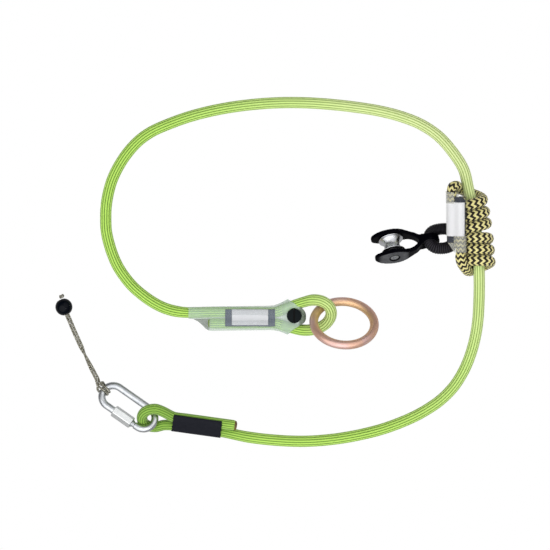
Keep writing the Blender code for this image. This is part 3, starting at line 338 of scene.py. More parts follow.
def skin(name, points, along=None, around=None, closedAlong=False, caps="fan", centres=(None, None),
         sharp=None):
    # A grid of points as one closed mesh: rows along, columns around, with its own map of distances
    rows, columns = points.shape[:2]
    along = np.arange(rows + 1.0) if along is None else np.r_[along, 2 * along[-1] - along[-2]]
    around = np.linspace(0, 1, columns + 1) if around is None else around
    row, column = np.indices((rows - (not closedAlong), columns)).reshape(2, -1, 1)
    atRow, atColumn = row + (0, 0, 1, 1), column + (0, 1, 1, 0)
    vertices = points.reshape(-1, 3)
    faces = [atRow % rows * columns + atColumn % columns]
    spots = [np.stack([along[atRow], around[atColumn]], axis=-1)]
    for end, edge in enumerate(() if closedAlong else (0, rows - 1)):
        if caps == "fan":
            # Triangles from the end row to its middle
            here = np.arange(columns)
            rim = np.stack([(here + 1) % columns, here][::1 - 2 * end], axis=1)
            face = np.column_stack([np.full(columns, rows * columns + end), edge * columns + rim])
            at = np.stack([here] * 3, axis=1)
            middle = points[edge].mean(0) if centres[end] is None else centres[end]
            vertices = np.vstack([vertices, middle])
        else:
            # Quads from the outer half of the end row to its inner half
            here = np.arange(columns // 2 - 1)
            other = columns - 1 - here
            at = np.stack([here + 1, here, other, other - 1], axis=1)[:, [[0, 1, 2, 3], [1, 0, 3, 2]][end]]
            face = edge * columns + at
        faces.append(face)
        spots.append(np.stack([np.full(at.shape, along[edge]), around[at]], axis=-1))
    if inwards(vertices, faces):
        faces, spots = ([part[:, ::-1] for part in parts] for parts in (faces, spots))
    corners = np.concatenate([face.ravel() for face in faces])
    spots = np.concatenate([spot.reshape(-1, 2) for spot in spots])
    sides = np.concatenate([np.full(len(face), face.shape[1]) for face in faces])
    mesh = bpy.data.meshes.new(name)
    mesh.vertices.add(len(vertices))
    mesh.vertices.foreach_set("co", vertices.astype(np.float32).ravel())
    mesh.loops.add(len(corners))
    mesh.loops.foreach_set("vertex_index", corners.astype(np.int32))
    mesh.polygons.add(len(sides))
    mesh.polygons.foreach_set("loop_start", (np.cumsum(sides) - sides).astype(np.int32))
    mesh.update(calc_edges=True)
    mesh.uv_layers.new(name="weave").data.foreach_set("uv", spots.astype(np.float32).ravel())
    mesh.shade_smooth()
    if sharp is not None:
        mesh.set_sharp_from_angle(angle=math.radians(sharp))
    return addObject(name, mesh)


def inwards(vertices, faces):
    # The sign of the volume that the faces enclose tells which way they point
    triangles = np.vstack([face[:, corners] for face in faces for corners in ([0, 1, 2], [0, 2, -1])])
    a, b, c = (vertices[triangles[:, k]] - vertices.mean(0) for k in range(3))
    return (a * np.cross(b, c)).sum() < 0


def turnedSkin(name, profile, origin, axis, steps=96, closed=False, sharp=35, ripple=None):
    # Each profile point (radius, height) goes round the axis: origin + height * axis + radius * (cos, sin)
    profile = np.asarray(profile, float)
    axis = unit(axis)
    side, rise = acrossAxes(axis)
    turns = fullTurn(steps)
    centres = (None, None)
    if not closed:
        centres = tuple(origin + height * axis for height in (profile[0, 1], profile[-1, 1]))
        profile = profile[1:-1]
    radius = profile[:, :1] * (1 if ripple is None else ripple(turns))
    points = origin + profile[:, 1, None, None] * axis + radius[..., None] * spokes(turns, side, rise)
    return skin(name, points, travelled(profile), closedAlong=closed, centres=centres, sharp=sharp)


def softened(profile, radius, steps=4):
    # Corners of a profile turned into small arcs, no longer than half of an edge
    profile = np.asarray(profile, float)
    made = [profile[0]]
    for before, corner, after in zip(profile, profile[1:], profile[2:]):
        back = min(radius, np.linalg.norm(before - corner) / 2)
        on = min(radius, np.linalg.norm(after - corner) / 2)
        start = corner + unit(before - corner) * back
        end = corner + unit(after - corner) * on
        made += [start * (1 - t) ** 2 + corner * 2 * t * (1 - t) + end * t ** 2
                 for t in np.linspace(0, 1, steps + 1)]
    return np.array(made + [profile[-1]])


def finishPiece(piece, body, finish, slot, *replaced):
    piece.data.materials.append(finish.material)
    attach(piece, body)
    if replaced:
        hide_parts(*replaced)
    return piece


# Braided cords: columns of chevrons that run along the cord

endShare = {"length": 0.25, "width": 0.7}  # how a cut end narrows: shares of the diameter


def braidRadius(along, around, braid):
    # Strands stand proud between their edges, which run as chevrons: along / pitch + slope * wave(around).
    # They dip where the two sets of strands cross.
    wave = np.abs(2 * np.mod(around * braid["columns"], 1) - 1)
    phase = along / braid["pitch"] + braid["slope"] * wave
    strand = np.abs(np.sin(np.pi * braid["strands"] * phase))
    column = np.abs(np.sin(np.pi * 2 * braid["columns"] * around))
    return -braid["strandDepth"] * (1 - strand) - braid["columnDepth"] * (1 - column ** 0.7)


def braidedTube(name, path, diameter, squeeze, braid, firstSide=(0.0, 0.0, 1.0)):
    # A tube about the line whose radius follows the braid: radius * squeeze + braid(along, around)
    line, along, factor = evenSteps(path, braid["step"], squeeze)
    around = np.arange(braid["around"]) / braid["around"]
    relief = braidRadius(along[:, None], around, braid)
    ends = np.clip(np.minimum(along, along[-1] - along) / (endShare["length"] * diameter), 0, 1)
    rounding = np.sqrt(1 - (1 - ends) ** 2) * (1 - endShare["width"]) + endShare["width"]
    radius = (diameter / 2 + braid["fullness"]) * (factor * rounding)[:, None] + relief
    points = aboutLine(line, radius, 2 * np.pi * around, firstSide)
    return skin(name, points, along), line


def braidShading(finish, braid):
    # The same chevrons as nodes, from the piece's own map
    along, around = finish.weave()
    wave = ((around * braid["columns"]).fraction() * 2 - 1).size()
    phase = along / braid["pitch"] + wave * braid["slope"]
    strand = (phase * (np.pi * braid["strands"])).sine().size()
    column = (around * (2 * np.pi * braid["columns"])).sine().size()
    return around, wave, phase, strand, column


# Main rope

ropeBraid = {"columns": 14, "pitch": 0.0021, "slope": 0.55, "strandDepth": 0.00003, "columnDepth": 0.00022,
             "step": 0.0011, "around": 70, "strands": 2, "fullness": 0.00005}
# The darker green used near the link eye is painted shade
rope = {"diameter": 0.011, "squeeze": 0.93, "length": 1.4797, "arcCentre": (-0.21754, 0.02388, 0.0163),
        "arcRadius": 0.415, "arcStart": 0.272767, "arcEnd": -0.082503, "arcPoints": 9,
        "light": srgb(194, 240, 104), "dark": srgb(66, 108, 8), "paleLight": srgb(234, 249, 178),
        "paleDark": srgb(138, 164, 74), "linkEyeShade": srgb(92, 144, 36), "linkEyeShadeAt": (-0.105, -0.105, 0.012),
        "paleAt": (0.058, -0.004, 0.016), "wearX": 2.6, "wearY": 1.9, "wearStart": 0.10, "worn": 0.95,
        "paleReach": (0.012, 0.042), "linkEyeShadeReach": (0.03, 0.10), "tracer": (0.45, 0.85)}
ringEndPoints = millimetres([
    (-62.64, -13.02, 7.1), (-40.94, -13.02, 7.1), (-19.74, -13.02, 7.1), (0.86, -13.07, 7.1),
    (9.76, -15.52, 6.9), (18.86, -18.22, 6.4), (28.56, -19.72, 6), (37.26, -19.12, 6.4),
    (45.56, -16.22, 8.6), (51.86, -11.02, 12), (54.76, -3.92, 16.2), (52.66, 3.18, 19.6),
    (46.36, 8.08, 21.2), (37.76, 9.48, 19.4), (28.56, 7.58, 14.6), (18.86, 4.28, 9.9), (9.76, 0.68, 8),
    (0.86, -2.37, 7.1), (-19.74, -2.42, 7.1), (-40.94, -2.42, 7.1), (-64.14, -2.42, 7.1),
    (-81.44, -2.82, 6.9),
])
bigLoopPoints = millimetres([
    (-95.44, -1.42, 6.1), (-107.04, 1.98, 5.7), (-117.84, 7.58, 5.6), (-127.74, 14.58, 5.6),
    (-136.84, 22.58, 5.6), (-144.54, 31.78, 5.6), (-151.04, 41.68, 5.6), (-155.94, 52.58, 5.6),
    (-159.64, 63.88, 5.6), (-162.24, 75.98, 5.6), (-162.84, 88.18, 5.6), (-162.34, 100.38, 5.6),
    (-160.34, 112.48, 5.6), (-156.94, 124.48, 5.6), (-151.84, 135.78, 5.6), (-145.44, 146.38, 5.6),
    (-137.84, 156.18, 5.6), (-129.14, 164.68, 5.6), (-119.04, 171.58, 5.6), (-108.14, 176.78, 5.6),
    (-85.84, 185.18, 5.6), (-63.54, 191.28, 5.6), (-40.44, 195.68, 5.6), (-17.14, 198.48, 5.6),
    (6.46, 199.88, 5.6), (30.16, 199.78, 5.6), (53.56, 198.28, 5.6), (76.46, 195.78, 5.6),
    (99.66, 192.18, 5.7), (120.66, 186.98, 6.4), (140.46, 179.28, 8.6), (157.36, 168.18, 11.8),
    (170.06, 154.38, 14.6),
])
returnPoints = millimetres([
    (193.36, -27.42, 14.6), (188.86, -43.92, 11.6), (182.26, -59.72, 8.4), (173.16, -74.12, 6.4),
    (161.06, -86.62, 5.7), (146.96, -96.52, 5.6), (131.56, -104.72, 5.6), (106.96, -114.32, 5.6),
    (81.46, -120.92, 5.6), (55.16, -125.22, 5.6), (28.46, -127.02, 5.6), (1.66, -126.02, 5.6),
    (-24.84, -123.02, 5.8),
])
linkMainPoints = millimetres([
    (-50.14, -118.02, 6.2), (-74.74, -114.67, 6.2), (-98.04, -111.52, 6.2),
])
linkEyePoints = millimetres([
    (-107.04, -111.42, 5.9), (-114.74, -113.12, 5.6), (-121.44, -112.12, 6.3), (-126.24, -108.82, 9.2),
    (-127.64, -104.22, 13.4), (-126.04, -99.72, 17.6), (-121.44, -96.52, 20.6), (-114.64, -95.52, 21.4),
    (-107.34, -98.12, 18.6), (-101.64, -101.22, 14.8),
])
linkTailPoints = millimetres([
    (-96.94, -103.42, 13.2), (-85.44, -105.02, 13.1), (-73.64, -106.62, 13.1), (-49.04, -110.02, 13.1),
    (-37.54, -111.62, 13.1),
])


def ropeRoute():
    # Ring eye, open loop, arc under the hitch, return and link eye, with the squeeze at each point
    angles = np.linspace(rope["arcStart"], rope["arcEnd"], rope["arcPoints"])
    arc = rope["arcCentre"] + rope["arcRadius"] * spokes(angles, (1, 0, 0), (0, 1, 0))
    route = np.vstack([ringEndPoints, bigLoopPoints, arc, returnPoints, linkMainPoints, linkEyePoints,
                       linkTailPoints])
    tight = rope["squeeze"]
    free = len(bigLoopPoints) + len(arc) + len(returnPoints)
    squeeze = [tight] * 6 + [1.0] * 8 + [tight] * 8 + [1.0] * free
    return route, squeeze + [tight] * (len(route) - len(squeeze))


def ropeFinish():
    # Lime sheath: light chevron columns with a dark tracer line between each two, and fine strands
    finish = Finish("limeSheath", Sheen_Weight=0.25, Sheen_Roughness=0.5, Specular_IOR_Level=0.35)
    _, wave, _, strand, _ = braidShading(finish, ropeBraid)
    tracer = wave.rise(*rope["tracer"])
    fibre = finish.noise(900, 3)
    # Paler where the rope is worn, towards the hitch and the far side of the loop
    x, y = finish.split(finish.place())
    towards = x * rope["wearX"] + y * rope["wearY"] + finish.noise(20, 2) * 0.2 + rope["wearStart"]
    worn = towards.rise(0.0, rope["worn"]) ** 2
    worn = worn.most((1 - finish.away(rope["paleAt"]).rise(*rope["paleReach"])) * 0.6)
    lime = finish.mix(worn, rope["light"], rope["paleLight"])
    # Painted shade: darker green near the link eye, where shade falls
    linkEyeShade = (1 - finish.away(rope["linkEyeShadeAt"]).rise(*rope["linkEyeShadeReach"])) * 0.55
    lime = finish.mix(linkEyeShade, lime, rope["linkEyeShade"])
    dark = finish.mix(worn, rope["dark"], rope["paleDark"])
    # Painted shade: darker in the gaps between strands
    gap = 1 - strand.rise(0.0, 0.5) * 0.75
    finish.colour(finish.mix(tracer * 0.78 + gap * 0.2 + fibre * 0.1, lime, dark))
    finish.rough(fibre * 0.2 + 0.55)
    finish.bump(strand * 0.6 + fibre * 0.4, 0.00025, 0.6)
    return finish


def makeRope():
    route, squeeze = ropeRoute()
    path = smoothCurve(route)
    piece, line = braidedTube("rope", path, rope["diameter"], spread(squeeze), ropeBraid)
    finishPiece(piece, "rope", ropeFinish(), "lime_rope", "main_rope")
    line[::6].tolist() + [line[-1].tolist()]
    return path


tip = {"radius": 0.0047, "length": 0.0016, "domeShare": 0.96, "lip": 0.0006, "sunk": 0.0014, "taper": 0.9,
       "brown": srgb(132, 104, 52), "darkBrown": srgb(84, 64, 34), "green": srgb(150, 178, 96),
       "darkGreen": srgb(120, 142, 74)}


def lumpy(turns):
    return 1 + 0.03 * np.sin(3 * turns + 1) + 0.02 * np.sin(7 * turns)


def makeTips(path):
    # Melted ends: a low dome with a lumpy edge over each cut end, sqrt(1 - h^2) wide at height h
    height = np.linspace(1, 0, 12)
    wide = tip["radius"] * tip["domeShare"] * np.sqrt(1 - height ** 2)
    dome = np.stack([wide, tip["length"] * height], axis=1)
    edge = [(tip["radius"], -tip["lip"]), (tip["radius"] * tip["taper"], -tip["sunk"]), (0.0, -tip["sunk"])]
    for name, end, before, tones in (("linkTailTip", path[-1], path[-2], ("darkBrown", "brown")),
                                     ("ringTailTip", path[0], path[1], ("darkGreen", "green"))):
        finish = Finish(name, Roughness=0.4, Specular_IOR_Level=0.4)
        lump = finish.noise(420, 4)
        finish.colour(finish.mix(lump.rise(0.35, 0.65), tip[tones[0]], tip[tones[1]]))
        finish.bump(lump, 0.0006, 0.8)
        piece = turnedSkin(name, np.vstack([dome, edge]), end, end - before, 48, sharp=60, ripple=lumpy)
        finishPiece(piece, "rope", finish, "lime_rope")


# Pull cord, girth hitched on the link's far bow and doubled up to the ball

cordBraid = {"columns": 4, "pitch": 0.0011, "slope": 0.5, "strandDepth": 0.00008, "columnDepth": 0.00006,
             "step": 0.00024, "around": 24, "strands": 2, "fullness": 0.00005}
cordSizes = {"diameter": 0.0023, "spacing": 0.00245, "clearance": 0.00035, "lean": -3.5, "length": 0.2634,
             "gap": 0.0003, "twistFrom": 3, "twistTo": 5, "perSpan": 8,
             "olive": srgb(94, 90, 68), "grey": srgb(150, 148, 134), "white": srgb(214, 212, 200),
             "dark": srgb(36, 34, 26),
             # From which share of the cells on each colour replaces the one before
             "shares": (("grey", 0.3), ("white", 0.68), ("dark", 0.84)), "between": 0.02}
pullPoints = millimetres([
    (-203.14, 2.68, 8.25), (-199.34, -6.22, 8.25), (-192.44, -22.52, 8.1), (-187.44, -33.72, 6),
    (-183.24, -42.92, 4.4), (-175.34, -58.92, 4.6), (-171.44, -66.12, 6.4),
])
link = {"wire": 0.007, "bow": 0.01085, "between": 0.0363, "gateStart": 0.00735, "gateWidth": 0.008,
        "nutOverlap": 0.001, "nutLength": 0.0212, "nutFlats": 0.0105}
linkCentre = jointPoint("link_swing")
linkX = jointAxis("nut_slide")
linkZ = jointAxis("link_swing")
linkY = np.cross(linkZ, linkX)
linkAxes = (linkCentre, linkX, linkY, linkZ)
ballSizes = {"diameter": 0.0165, "bore": 0.0056, "lip": 0.0005, "lipHalf": 0.0003, "lipOut": 0.0001}
ballCentre = jointPoint("ball_slide")
cordAlong = jointAxis("ball_slide")


def onBow(degrees, out, rise):
    # A point by the far bow's wire: angle about the bow, distance out from the wire, height
    angle = math.radians(cordSizes["lean"] + degrees)
    reach = link["bow"] + out
    return placed(linkAxes, link["between"] + reach * math.cos(angle), reach * math.sin(angle), rise)


def halfHitch(side):
    # One strand from the standing part, over, behind and under the wire, to the crossing bar
    wire = (link["wire"] + cordSizes["diameter"]) / 2 + cordSizes["clearance"]
    points = [(5.0, 0.0069, 0.0016), (5.6, 0.0048, 0.0029), (6.8, 0.0027, 0.0044), (8.0, 0.0, wire),
              (10.6, -0.0036, 0.0036), (13.6, -wire, 0.0), (15.6, -0.0036, -0.0036), (16.6, 0.0, -wire),
              (16.4, 0.0037, -0.0035), (15.4, wire + 0.0002, 0.0002), (13.2, 0.0059, 0.0037)]
    return [onBow(side * angle, out, rise) for angle, out, rise in points]


def pullRoute():
    # Two strands side by side that turn half over on the way, joined by the girth hitch
    per = cordSizes["perSpan"]
    start = ballCentre - cordAlong * (ballSizes["diameter"] / 2 - cordSizes["gap"])
    middle = smoothCurve(np.vstack([start, pullPoints]), per)
    begin = (cordSizes["twistFrom"] + 1) * per
    end = (cordSizes["twistTo"] + 1) * per
    turned = np.pi * np.clip((np.arange(len(middle)) - begin) / (end - begin), 0, 1)
    heading = np.gradient(middle, axis=0)
    side = unit(np.cross(heading, up))
    offset = cordSizes["spacing"] / 2 * spokes(turned, side, unit(np.cross(side, heading)))
    first, second = middle + offset, middle - offset
    way = math.copysign(1.0, offset[-1] @ (onBow(5, 0.006, 0.002) - onBow(-5, 0.006, 0.002)))
    girth = np.vstack([first[-3:], halfHitch(way), [onBow(0.0, 0.0069, 0.0055)], halfHitch(-way)[::-1],
                       second[:-4:-1]])
    return np.vstack([first[:-3], smoothCurve(girth, 6), second[-4::-1]])


def cordFinish():
    # Braid of olive, grey and white yarns: each strand cell takes a colour of its own
    finish = Finish("speckledBraid", Roughness=0.75, Sheen_Weight=0.2, Specular_IOR_Level=0.3)
    around, _, phase, strand, column = braidShading(finish, cordBraid)
    cell = finish.joined((phase * cordBraid["strands"]).whole(), (around * 2 * cordBraid["columns"]).whole())
    chance = finish.node("ShaderNodeTexWhiteNoise", {"noise_dimensions": "3D"}, [cell])
    colour = cordSizes["olive"]
    for tone, share in cordSizes["shares"]:
        colour = finish.mix(chance.rise(share, share + cordSizes["between"]), colour, cordSizes[tone])
    # Painted shade: the gaps between strands take the dark yarn colour
    finish.colour(finish.mix(strand.rise(0.0, 0.5), cordSizes["dark"], colour))
    finish.bump(strand * column, 0.0001, 0.6)
    return finish


knotSizes = {"width": 0.0055, "length": 0.0033, "cord": 0.0019, "tail": 0.0020, "aside": 0.0021,
             "bend": 0.0004, "towards": (1.0, 0.4, 0.0), "tailWay": (-0.75, 0.66, 0.12)}


def cordPiece(name, path, diameter, firstSide, finish, *replaced):
    piece, line = braidedTube(name, path, diameter, np.ones(len(path)), cordBraid, firstSide)
    return finishPiece(piece, "cord", finish, "speckled_cord", *replaced), line


def makePullCord():
    finish = cordFinish()
    side = np.cross(cordAlong, up)
    cord, line = cordPiece("pullCord", pullRoute(), cordSizes["diameter"], side, finish, "pull_cord")
    # Stopper knot: a trefoil of the same cord, x = sin t + 2 sin 2t, y = cos t - 2 cos 2t, z = sin 3t
    turn = np.linspace(0, 2 * np.pi, 120)
    centre = ballCentre - cordAlong * (ballSizes["diameter"] / 2 + cordSizes["gap"] + knotSizes["length"] / 2)
    centre = centre + unit(knotSizes["towards"]) * knotSizes["aside"]
    scale = (knotSizes["width"] - knotSizes["cord"]) / 2 / 3
    rise = (knotSizes["length"] - knotSizes["cord"]) / 2
    loop = placed((centre, side, up, cordAlong), scale * (np.sin(turn) + 2 * np.sin(2 * turn)),
                  scale * (np.cos(turn) - 2 * np.cos(2 * turn)), rise * np.sin(3 * turn))
    pieces = [cordPiece("stopperKnot", loop, knotSizes["cord"], cordAlong, finish, "ball_knot")[0]]
    along, across, lift = knotSizes["tailWay"]
    for name, lean in (("knotTailLeft", 1.0), ("knotTailRight", -1.0)):
        way = unit(along * cordAlong + across * lean * side + lift * up) * knotSizes["tail"]
        tail = [centre, centre + 0.5 * way + knotSizes["bend"] * lean * side, centre + 1.2 * way]
        pieces.append(cordPiece(name, smoothCurve(tail, 8), knotSizes["cord"], up, finish)[0])
    line[::3].tolist() + [line[-1].tolist()]


# Sections across two strands, and sewn strips over them

def arcLine(centre, radius, start, end, steps=48):
    return centre + radius * spokes(np.radians(np.linspace(start, end, steps)), (1, 0), (0, 1))


def evenOutline(outline, count, closed=False):
    # The outline's points spread evenly along its length
    outline = np.vstack([outline, outline[:1]]) if closed else outline
    along = travelled(outline)
    marks = np.linspace(0, along[-1], count + closed)[:count]
    return np.stack([np.interp(marks, along, outline[:, k]) for k in range(2)], axis=1), marks


def pairBand(radius, half, count, dip):
    # All the way round two strands side by side, with a shallow valley between them
    outline = np.vstack([arcLine((half, 0.0), radius, -90, 90), arcLine((-half, 0.0), radius, 90, 270)])
    section, marks = evenOutline(outline, count, closed=True)
    return valley(section, half, dip), marks


def pairStrip(radius, half, start, end, count, dip):
    # Over two strands, from an angle on the left one to an angle on the right one
    outline = np.vstack([arcLine((-half, 0.0), radius, start, 90), arcLine((half, 0.0), radius, 90, end)])
    section, marks = evenOutline(outline, count)
    return valley(section, half, dip), marks


def valley(section, half, dip):
    depth = dip * np.cos(np.clip(section[:, 0] / half, -1, 1) * np.pi / 2) ** 2
    return section - np.stack([0 * depth, np.sign(section[:, 1]) * depth], axis=1)


def threads(along, across, sewing):
    # Rows of thread side by side: |sin(pi * (along + slant * across) / pitch)|
    return np.abs(np.sin(np.pi * (along + sewing["slant"] * across) / sewing["pitch"]))


def insetAt(marks, corner):
    # How far a rounded corner pulls the end in, by the distance from the strip's side
    side = np.minimum(marks, marks[-1] - marks)
    return corner - np.sqrt(np.maximum(corner ** 2 - np.maximum(corner - side, 0) ** 2, 0))


edges = {"round": 0.0003, "thin": 0.5}  # a strip's edges: how wide they are rounded, and how thin they end


def sewnStrip(name, frameAxes, outline, inner, outer, ends, sewing):
    # A strip of thread rows or plain tape: outer face, then the inner face back, with rounded corners
    section, marks = outline(outer, sewing["columns"])
    under, _ = outline(inner, sewing["columns"])
    corner = insetAt(marks, sewing["corner"])
    share = np.linspace(0, 1, sewing["rows"])[:, None]
    low = ends[0] + corner + sewing["fray"] * fray(marks, 0.7)
    high = ends[1] - corner - sewing["fray"] * fray(marks, 0.0)
    along = low + share * (high - low)
    rounding = np.clip(np.minimum(share, 1 - share) * (ends[1] - ends[0]) / edges["round"], 0, 1)
    side = np.clip(np.minimum(marks, marks[-1] - marks) / edges["round"], 0, 1)
    face = np.sqrt(1 - (1 - rounding * side) ** 2) * (1 - edges["thin"]) + edges["thin"]
    lift = sewing["height"] * (threads(along, marks, sewing) - 1)
    thick = face * (np.linalg.norm(section - under, axis=1) + lift)
    top = under + unit(section - under) * thick[..., None]
    upper = placed(frameAxes, top[..., 0], top[..., 1], along)
    lower = placed(frameAxes, under[:, 0], under[:, 1], along)
    around = np.r_[marks, marks[-1] + edges["round"] + marks, 2 * (marks[-1] + edges["round"])]
    return skin(name, np.concatenate([upper, lower[:, ::-1]], axis=1), np.linspace(*ends, sewing["rows"]),
                around, caps="strip")


threadEnds = {"long": 0.0011, "short": 0.00047, "less": 0.7}  # two wavelengths, the short one weaker


def fray(marks, shift):
    # Thread ends of unequal length: two sine waves, always inwards, between 0 and 1
    slow, quick = (2 * np.pi * marks / threadEnds[key] for key in ("long", "short"))
    most = 1 + threadEnds["less"]
    return (np.sin(slow + shift) + threadEnds["less"] * np.sin(quick + 2 * shift) + most) / (2 * most)


def wallTube(name, outer, inner, along, around, sharp=None):
    # A tube with a wall: rows of the outer face, then rows of the inner face back to the start
    points = np.concatenate([outer, inner[::-1]])
    return skin(name, points, np.r_[along, along[-1] + 0.001 + along], around, closedAlong=True, sharp=sharp)


# Ring end: stitching over and under the strands, bare label, clear sleeve, binding screw

ringEnd = {"lower": -0.01302, "upper": -0.00242, "height": 0.0071, "dip": 0.0008,
           "stitchX": (-0.04764, 0.00076), "stitchY": (-0.01632, 0.00048), "stitch": (0.005515, 0.005915),
           "labelX": (-0.04104, -0.00604), "labelY": (-0.01492, 0.00048), "label": (0.006115, 0.006365)}
ringSewing = {"columns": 60, "rows": 320, "pitch": 0.00105, "slant": 0.0, "height": 0.00016, "corner": 0.0008,
              "fray": 0.0002, "colour": srgb(32, 46, 72), "light": srgb(88, 104, 130)}
tape = {"columns": 60, "rows": 60, "pitch": 1.0, "slant": 0.0, "height": 0.0, "corner": 0.0006, "fray": 0.0,
        "weave": 0.0005, "colour": srgb(244, 244, 246), "thread": srgb(222, 222, 226)}
twine = {"pitch": 0.0007, "lean": 0.6}  # the twist of every thread


def threadFinish(name, sewing):
    # Rows of thread with a painted highlight on their crests, and a fine twist along each
    finish = Finish(name, Roughness=0.6, Specular_IOR_Level=0.12)
    along, around = finish.weave()
    row = ((along + around * sewing["slant"]) * (np.pi / sewing["pitch"])).sine().size()
    twist = ((around + along * twine["lean"]) * (2 * np.pi / twine["pitch"])).sine().size()
    fibre = finish.noise(1500, 3)
    # Painted highlight: lighter on the crests of the rows and of the twist
    crestHighlight = (row * 0.65 + twist * 0.35) * fibre
    finish.colour(finish.mix(crestHighlight, sewing["colour"], sewing["light"]))
    finish.bump(row * 0.6 + twist * 0.3 + fibre * 0.3, 0.00015, 0.7)
    return finish


def tapeFinish():
    # Woven white tape with nothing printed on it
    finish = Finish("bareLabel", Roughness=0.5, Specular_IOR_Level=0.4)
    along, around = finish.weave()
    woven = (along * (np.pi / tape["weave"])).sine().size() * (around * (np.pi / tape["weave"])).sine().size()
    # Painted shade: a little darker between the woven threads
    finish.colour(finish.mix(woven, tape["thread"], tape["colour"]))
    finish.bump(woven, 0.00008, 0.4)
    return finish


def strandAngles(radius, reach, middle, half):
    # The angles on the two strands at which a strip with these edges ends
    across = [y - middle for y in reach]
    start = math.degrees(math.acos(np.clip((across[0] + half) / radius, -1, 1)))
    return start, math.degrees(math.acos(np.clip((across[1] - half) / radius, -1, 1)))


def makeRingSewing(navy, paper):
    middle = (ringEnd["lower"] + ringEnd["upper"]) / 2
    half = (ringEnd["upper"] - ringEnd["lower"]) / 2
    origin = np.array((0.0, middle, ringEnd["height"]))
    for name, rise, size, sewing, finish, slot, node in (
            ("ringStitching", up, "stitch", ringSewing, navy, "navy_thread", "ring_end_stitching"),
            ("ringStitchingUnder", -up, "stitch", ringSewing, navy, "navy_thread",
             "ring_end_stitching_under"),
            ("ringLabel", up, "label", tape, paper, "white_label", "ring_end_label")):
        inner, outer = ringEnd[size]
        start, end = strandAngles(outer, ringEnd[size + "Y"], middle, half)
        piece = sewnStrip(name, (origin, np.array((0, 1.0, 0)), rise, np.array((1.0, 0, 0))),
                          lambda radius, count: pairStrip(radius, half, start, end, count, ringEnd["dip"]),
                          inner, outer, ringEnd[size + "X"], sewing)
        finishPiece(piece, "rope", finish, slot, node)


# x, upper edge y and height, lower edge y and height, each at one place along the sleeve
sleeveStations = millimetres([
    (-82.94, 2.62, 7.1, -8.42, 7.1), (-78.2, 2.72, 7.1, -9.05, 7.1), (-73.7, 2.82, 7.1, -11.3, 7.1),
    (-69.8, 2.9, 7.1, -14.7, 7.1), (-66.6, 3, 7.1, -18, 7.1), (-64, 3.05, 7.1, -19.85, 7.1),
    (-60.1, 3.12, 7.1, -20.35, 7.1), (-42.84, 3.38, 7.1, -20.1, 7.1), (-6.24, 3.78, 7.1, -19.65, 7.1),
    (-0.5, 4.3, 7.2, -19.9, 7.1), (4.46, 6, 7.5, -20.8, 7.1), (8.5, 7.9, 8, -22.2, 7.1),
    (12.66, 10.38, 8.5, -24.02, 7.1), (18.86, 6.68, 9.4, -19.02, 7.2), (25.8, 2.35, 9.6, -14.3, 8),
    (27.4, 0.95, 9.5, -13.65, 8.2), (28.8, -0.8, 9.4, -12.4, 8.4), (29.7, -2.25, 9.3, -11.1, 8.6),
    (30.25, -3.7, 9.2, -9.7, 8.7), (30.55, -5.2, 9.1, -8.3, 8.8),
])
film = {"wall": 0.00045, "thick": 0.00695, "drape": 0.0076, "fin": 0.0006, "valley": 0.0011, "rows": 280,
        "columns": 120, "table": 0.00005, "seat": 0.0076, "seatTop": 0.0144, "seatUnder": 0.0026,
        "opacity": 0.27, "pressed": 0.18, "finOpacity": 0.38, "rimOpacity": 0.6, "flareOpacity": 0.09,
        "colour": (0.64, 0.78, 0.68), "shade": (0.28, 0.32, 0.28), "rim": (0.20, 0.25, 0.19),
        "clear": (0.44, 0.48, 0.50), "lapOpacity": 0.30, "lapPressed": 0.02, "lapColour": (0.58, 0.58, 0.52),
        "soft": 0.0008, "stepSoft": 0.0004, "middleSoft": 0.0006, "pressedY": (0.0082, 0.0094),
        "finX": (-0.002, 0.001), "finY": (-0.0096, -0.0080), "rimX": (0.0225, 0.0250),
        "flareX": (0.003, 0.012), "tailOver": 0.004, "edgeShare": 0.18, "wallMost": 0.45, "towards": 0.15}


def filmBase(name, colour):
    # Milky clear film with faint ripples
    finish = Finish(name, Base_Color=colour, Roughness=0.28, Specular_IOR_Level=0.22)
    ripple = finish.noise(70, 2)
    finish.bump(ripple, 0.0008, 0.25)
    return finish, ripple


def ringFilm():
    # Clearer where it is pressed on the stitching, and in the fin beside the tail denser, with painted shade
    # that makes it greyer
    finish, ripple = filmBase("ringFilm", film["colour"])
    x, y = finish.split(finish.place())
    low, high = ringEnd["stitchX"]
    soft = film["soft"]
    pressed = x.rise(low - soft, low + soft) * (1 - x.rise(high - soft, high + soft))
    middle = (ringEnd["lower"] + ringEnd["upper"]) / 2
    pressed = pressed * (1 - (y - middle).size().rise(*film["pressedY"]))
    finX = [ringEndPoints[0][0] + step for step in film["finX"]]
    fin = (1 - x.rise(*finX)) * (1 - y.rise(*film["finY"]))
    rim = x.rise(*film["rimX"])
    flare = x.rise(*film["flareX"]) * (1 - rim)
    colour = finish.mix(pressed, film["colour"], film["clear"])
    colour = finish.mix(fin, colour, film["shade"])
    finish.colour(finish.mix(rim, colour, film["rim"]))
    finish.feed("Alpha", ripple * 0.1 + film["opacity"] - 0.05 - pressed * (film["opacity"] - film["pressed"])
                + fin * (film["finOpacity"] - film["opacity"]) + rim * (film["rimOpacity"] - film["opacity"])
                + flare * film["flareOpacity"])
    return finish


def lapFilm():
    # Milky over the free stretches of cord, clear where it is pressed on the stitching and the label
    finish, ripple = filmBase("lapFilm", film["lapColour"])
    along = finish.reach(lap["middle"], lapAlong)
    right = finish.reach(lap["middle"], lapAcross).rise(-film["middleSoft"], film["middleSoft"])
    low, high = lap["stitchEnds"]
    step, soft = lap["step"], film["stepSoft"]
    top = along.rise(high - step - soft, high - step + soft) * (1 - right)
    bottom = (1 - along.rise(low + step - soft, low + step + soft)) * right
    free = top.most(bottom).most(1 - along.rise(low - film["soft"], low))
    milky = film["lapOpacity"] - film["lapPressed"]
    finish.feed("Alpha", free * milky + ripple * 0.03 + film["lapPressed"])
    return finish


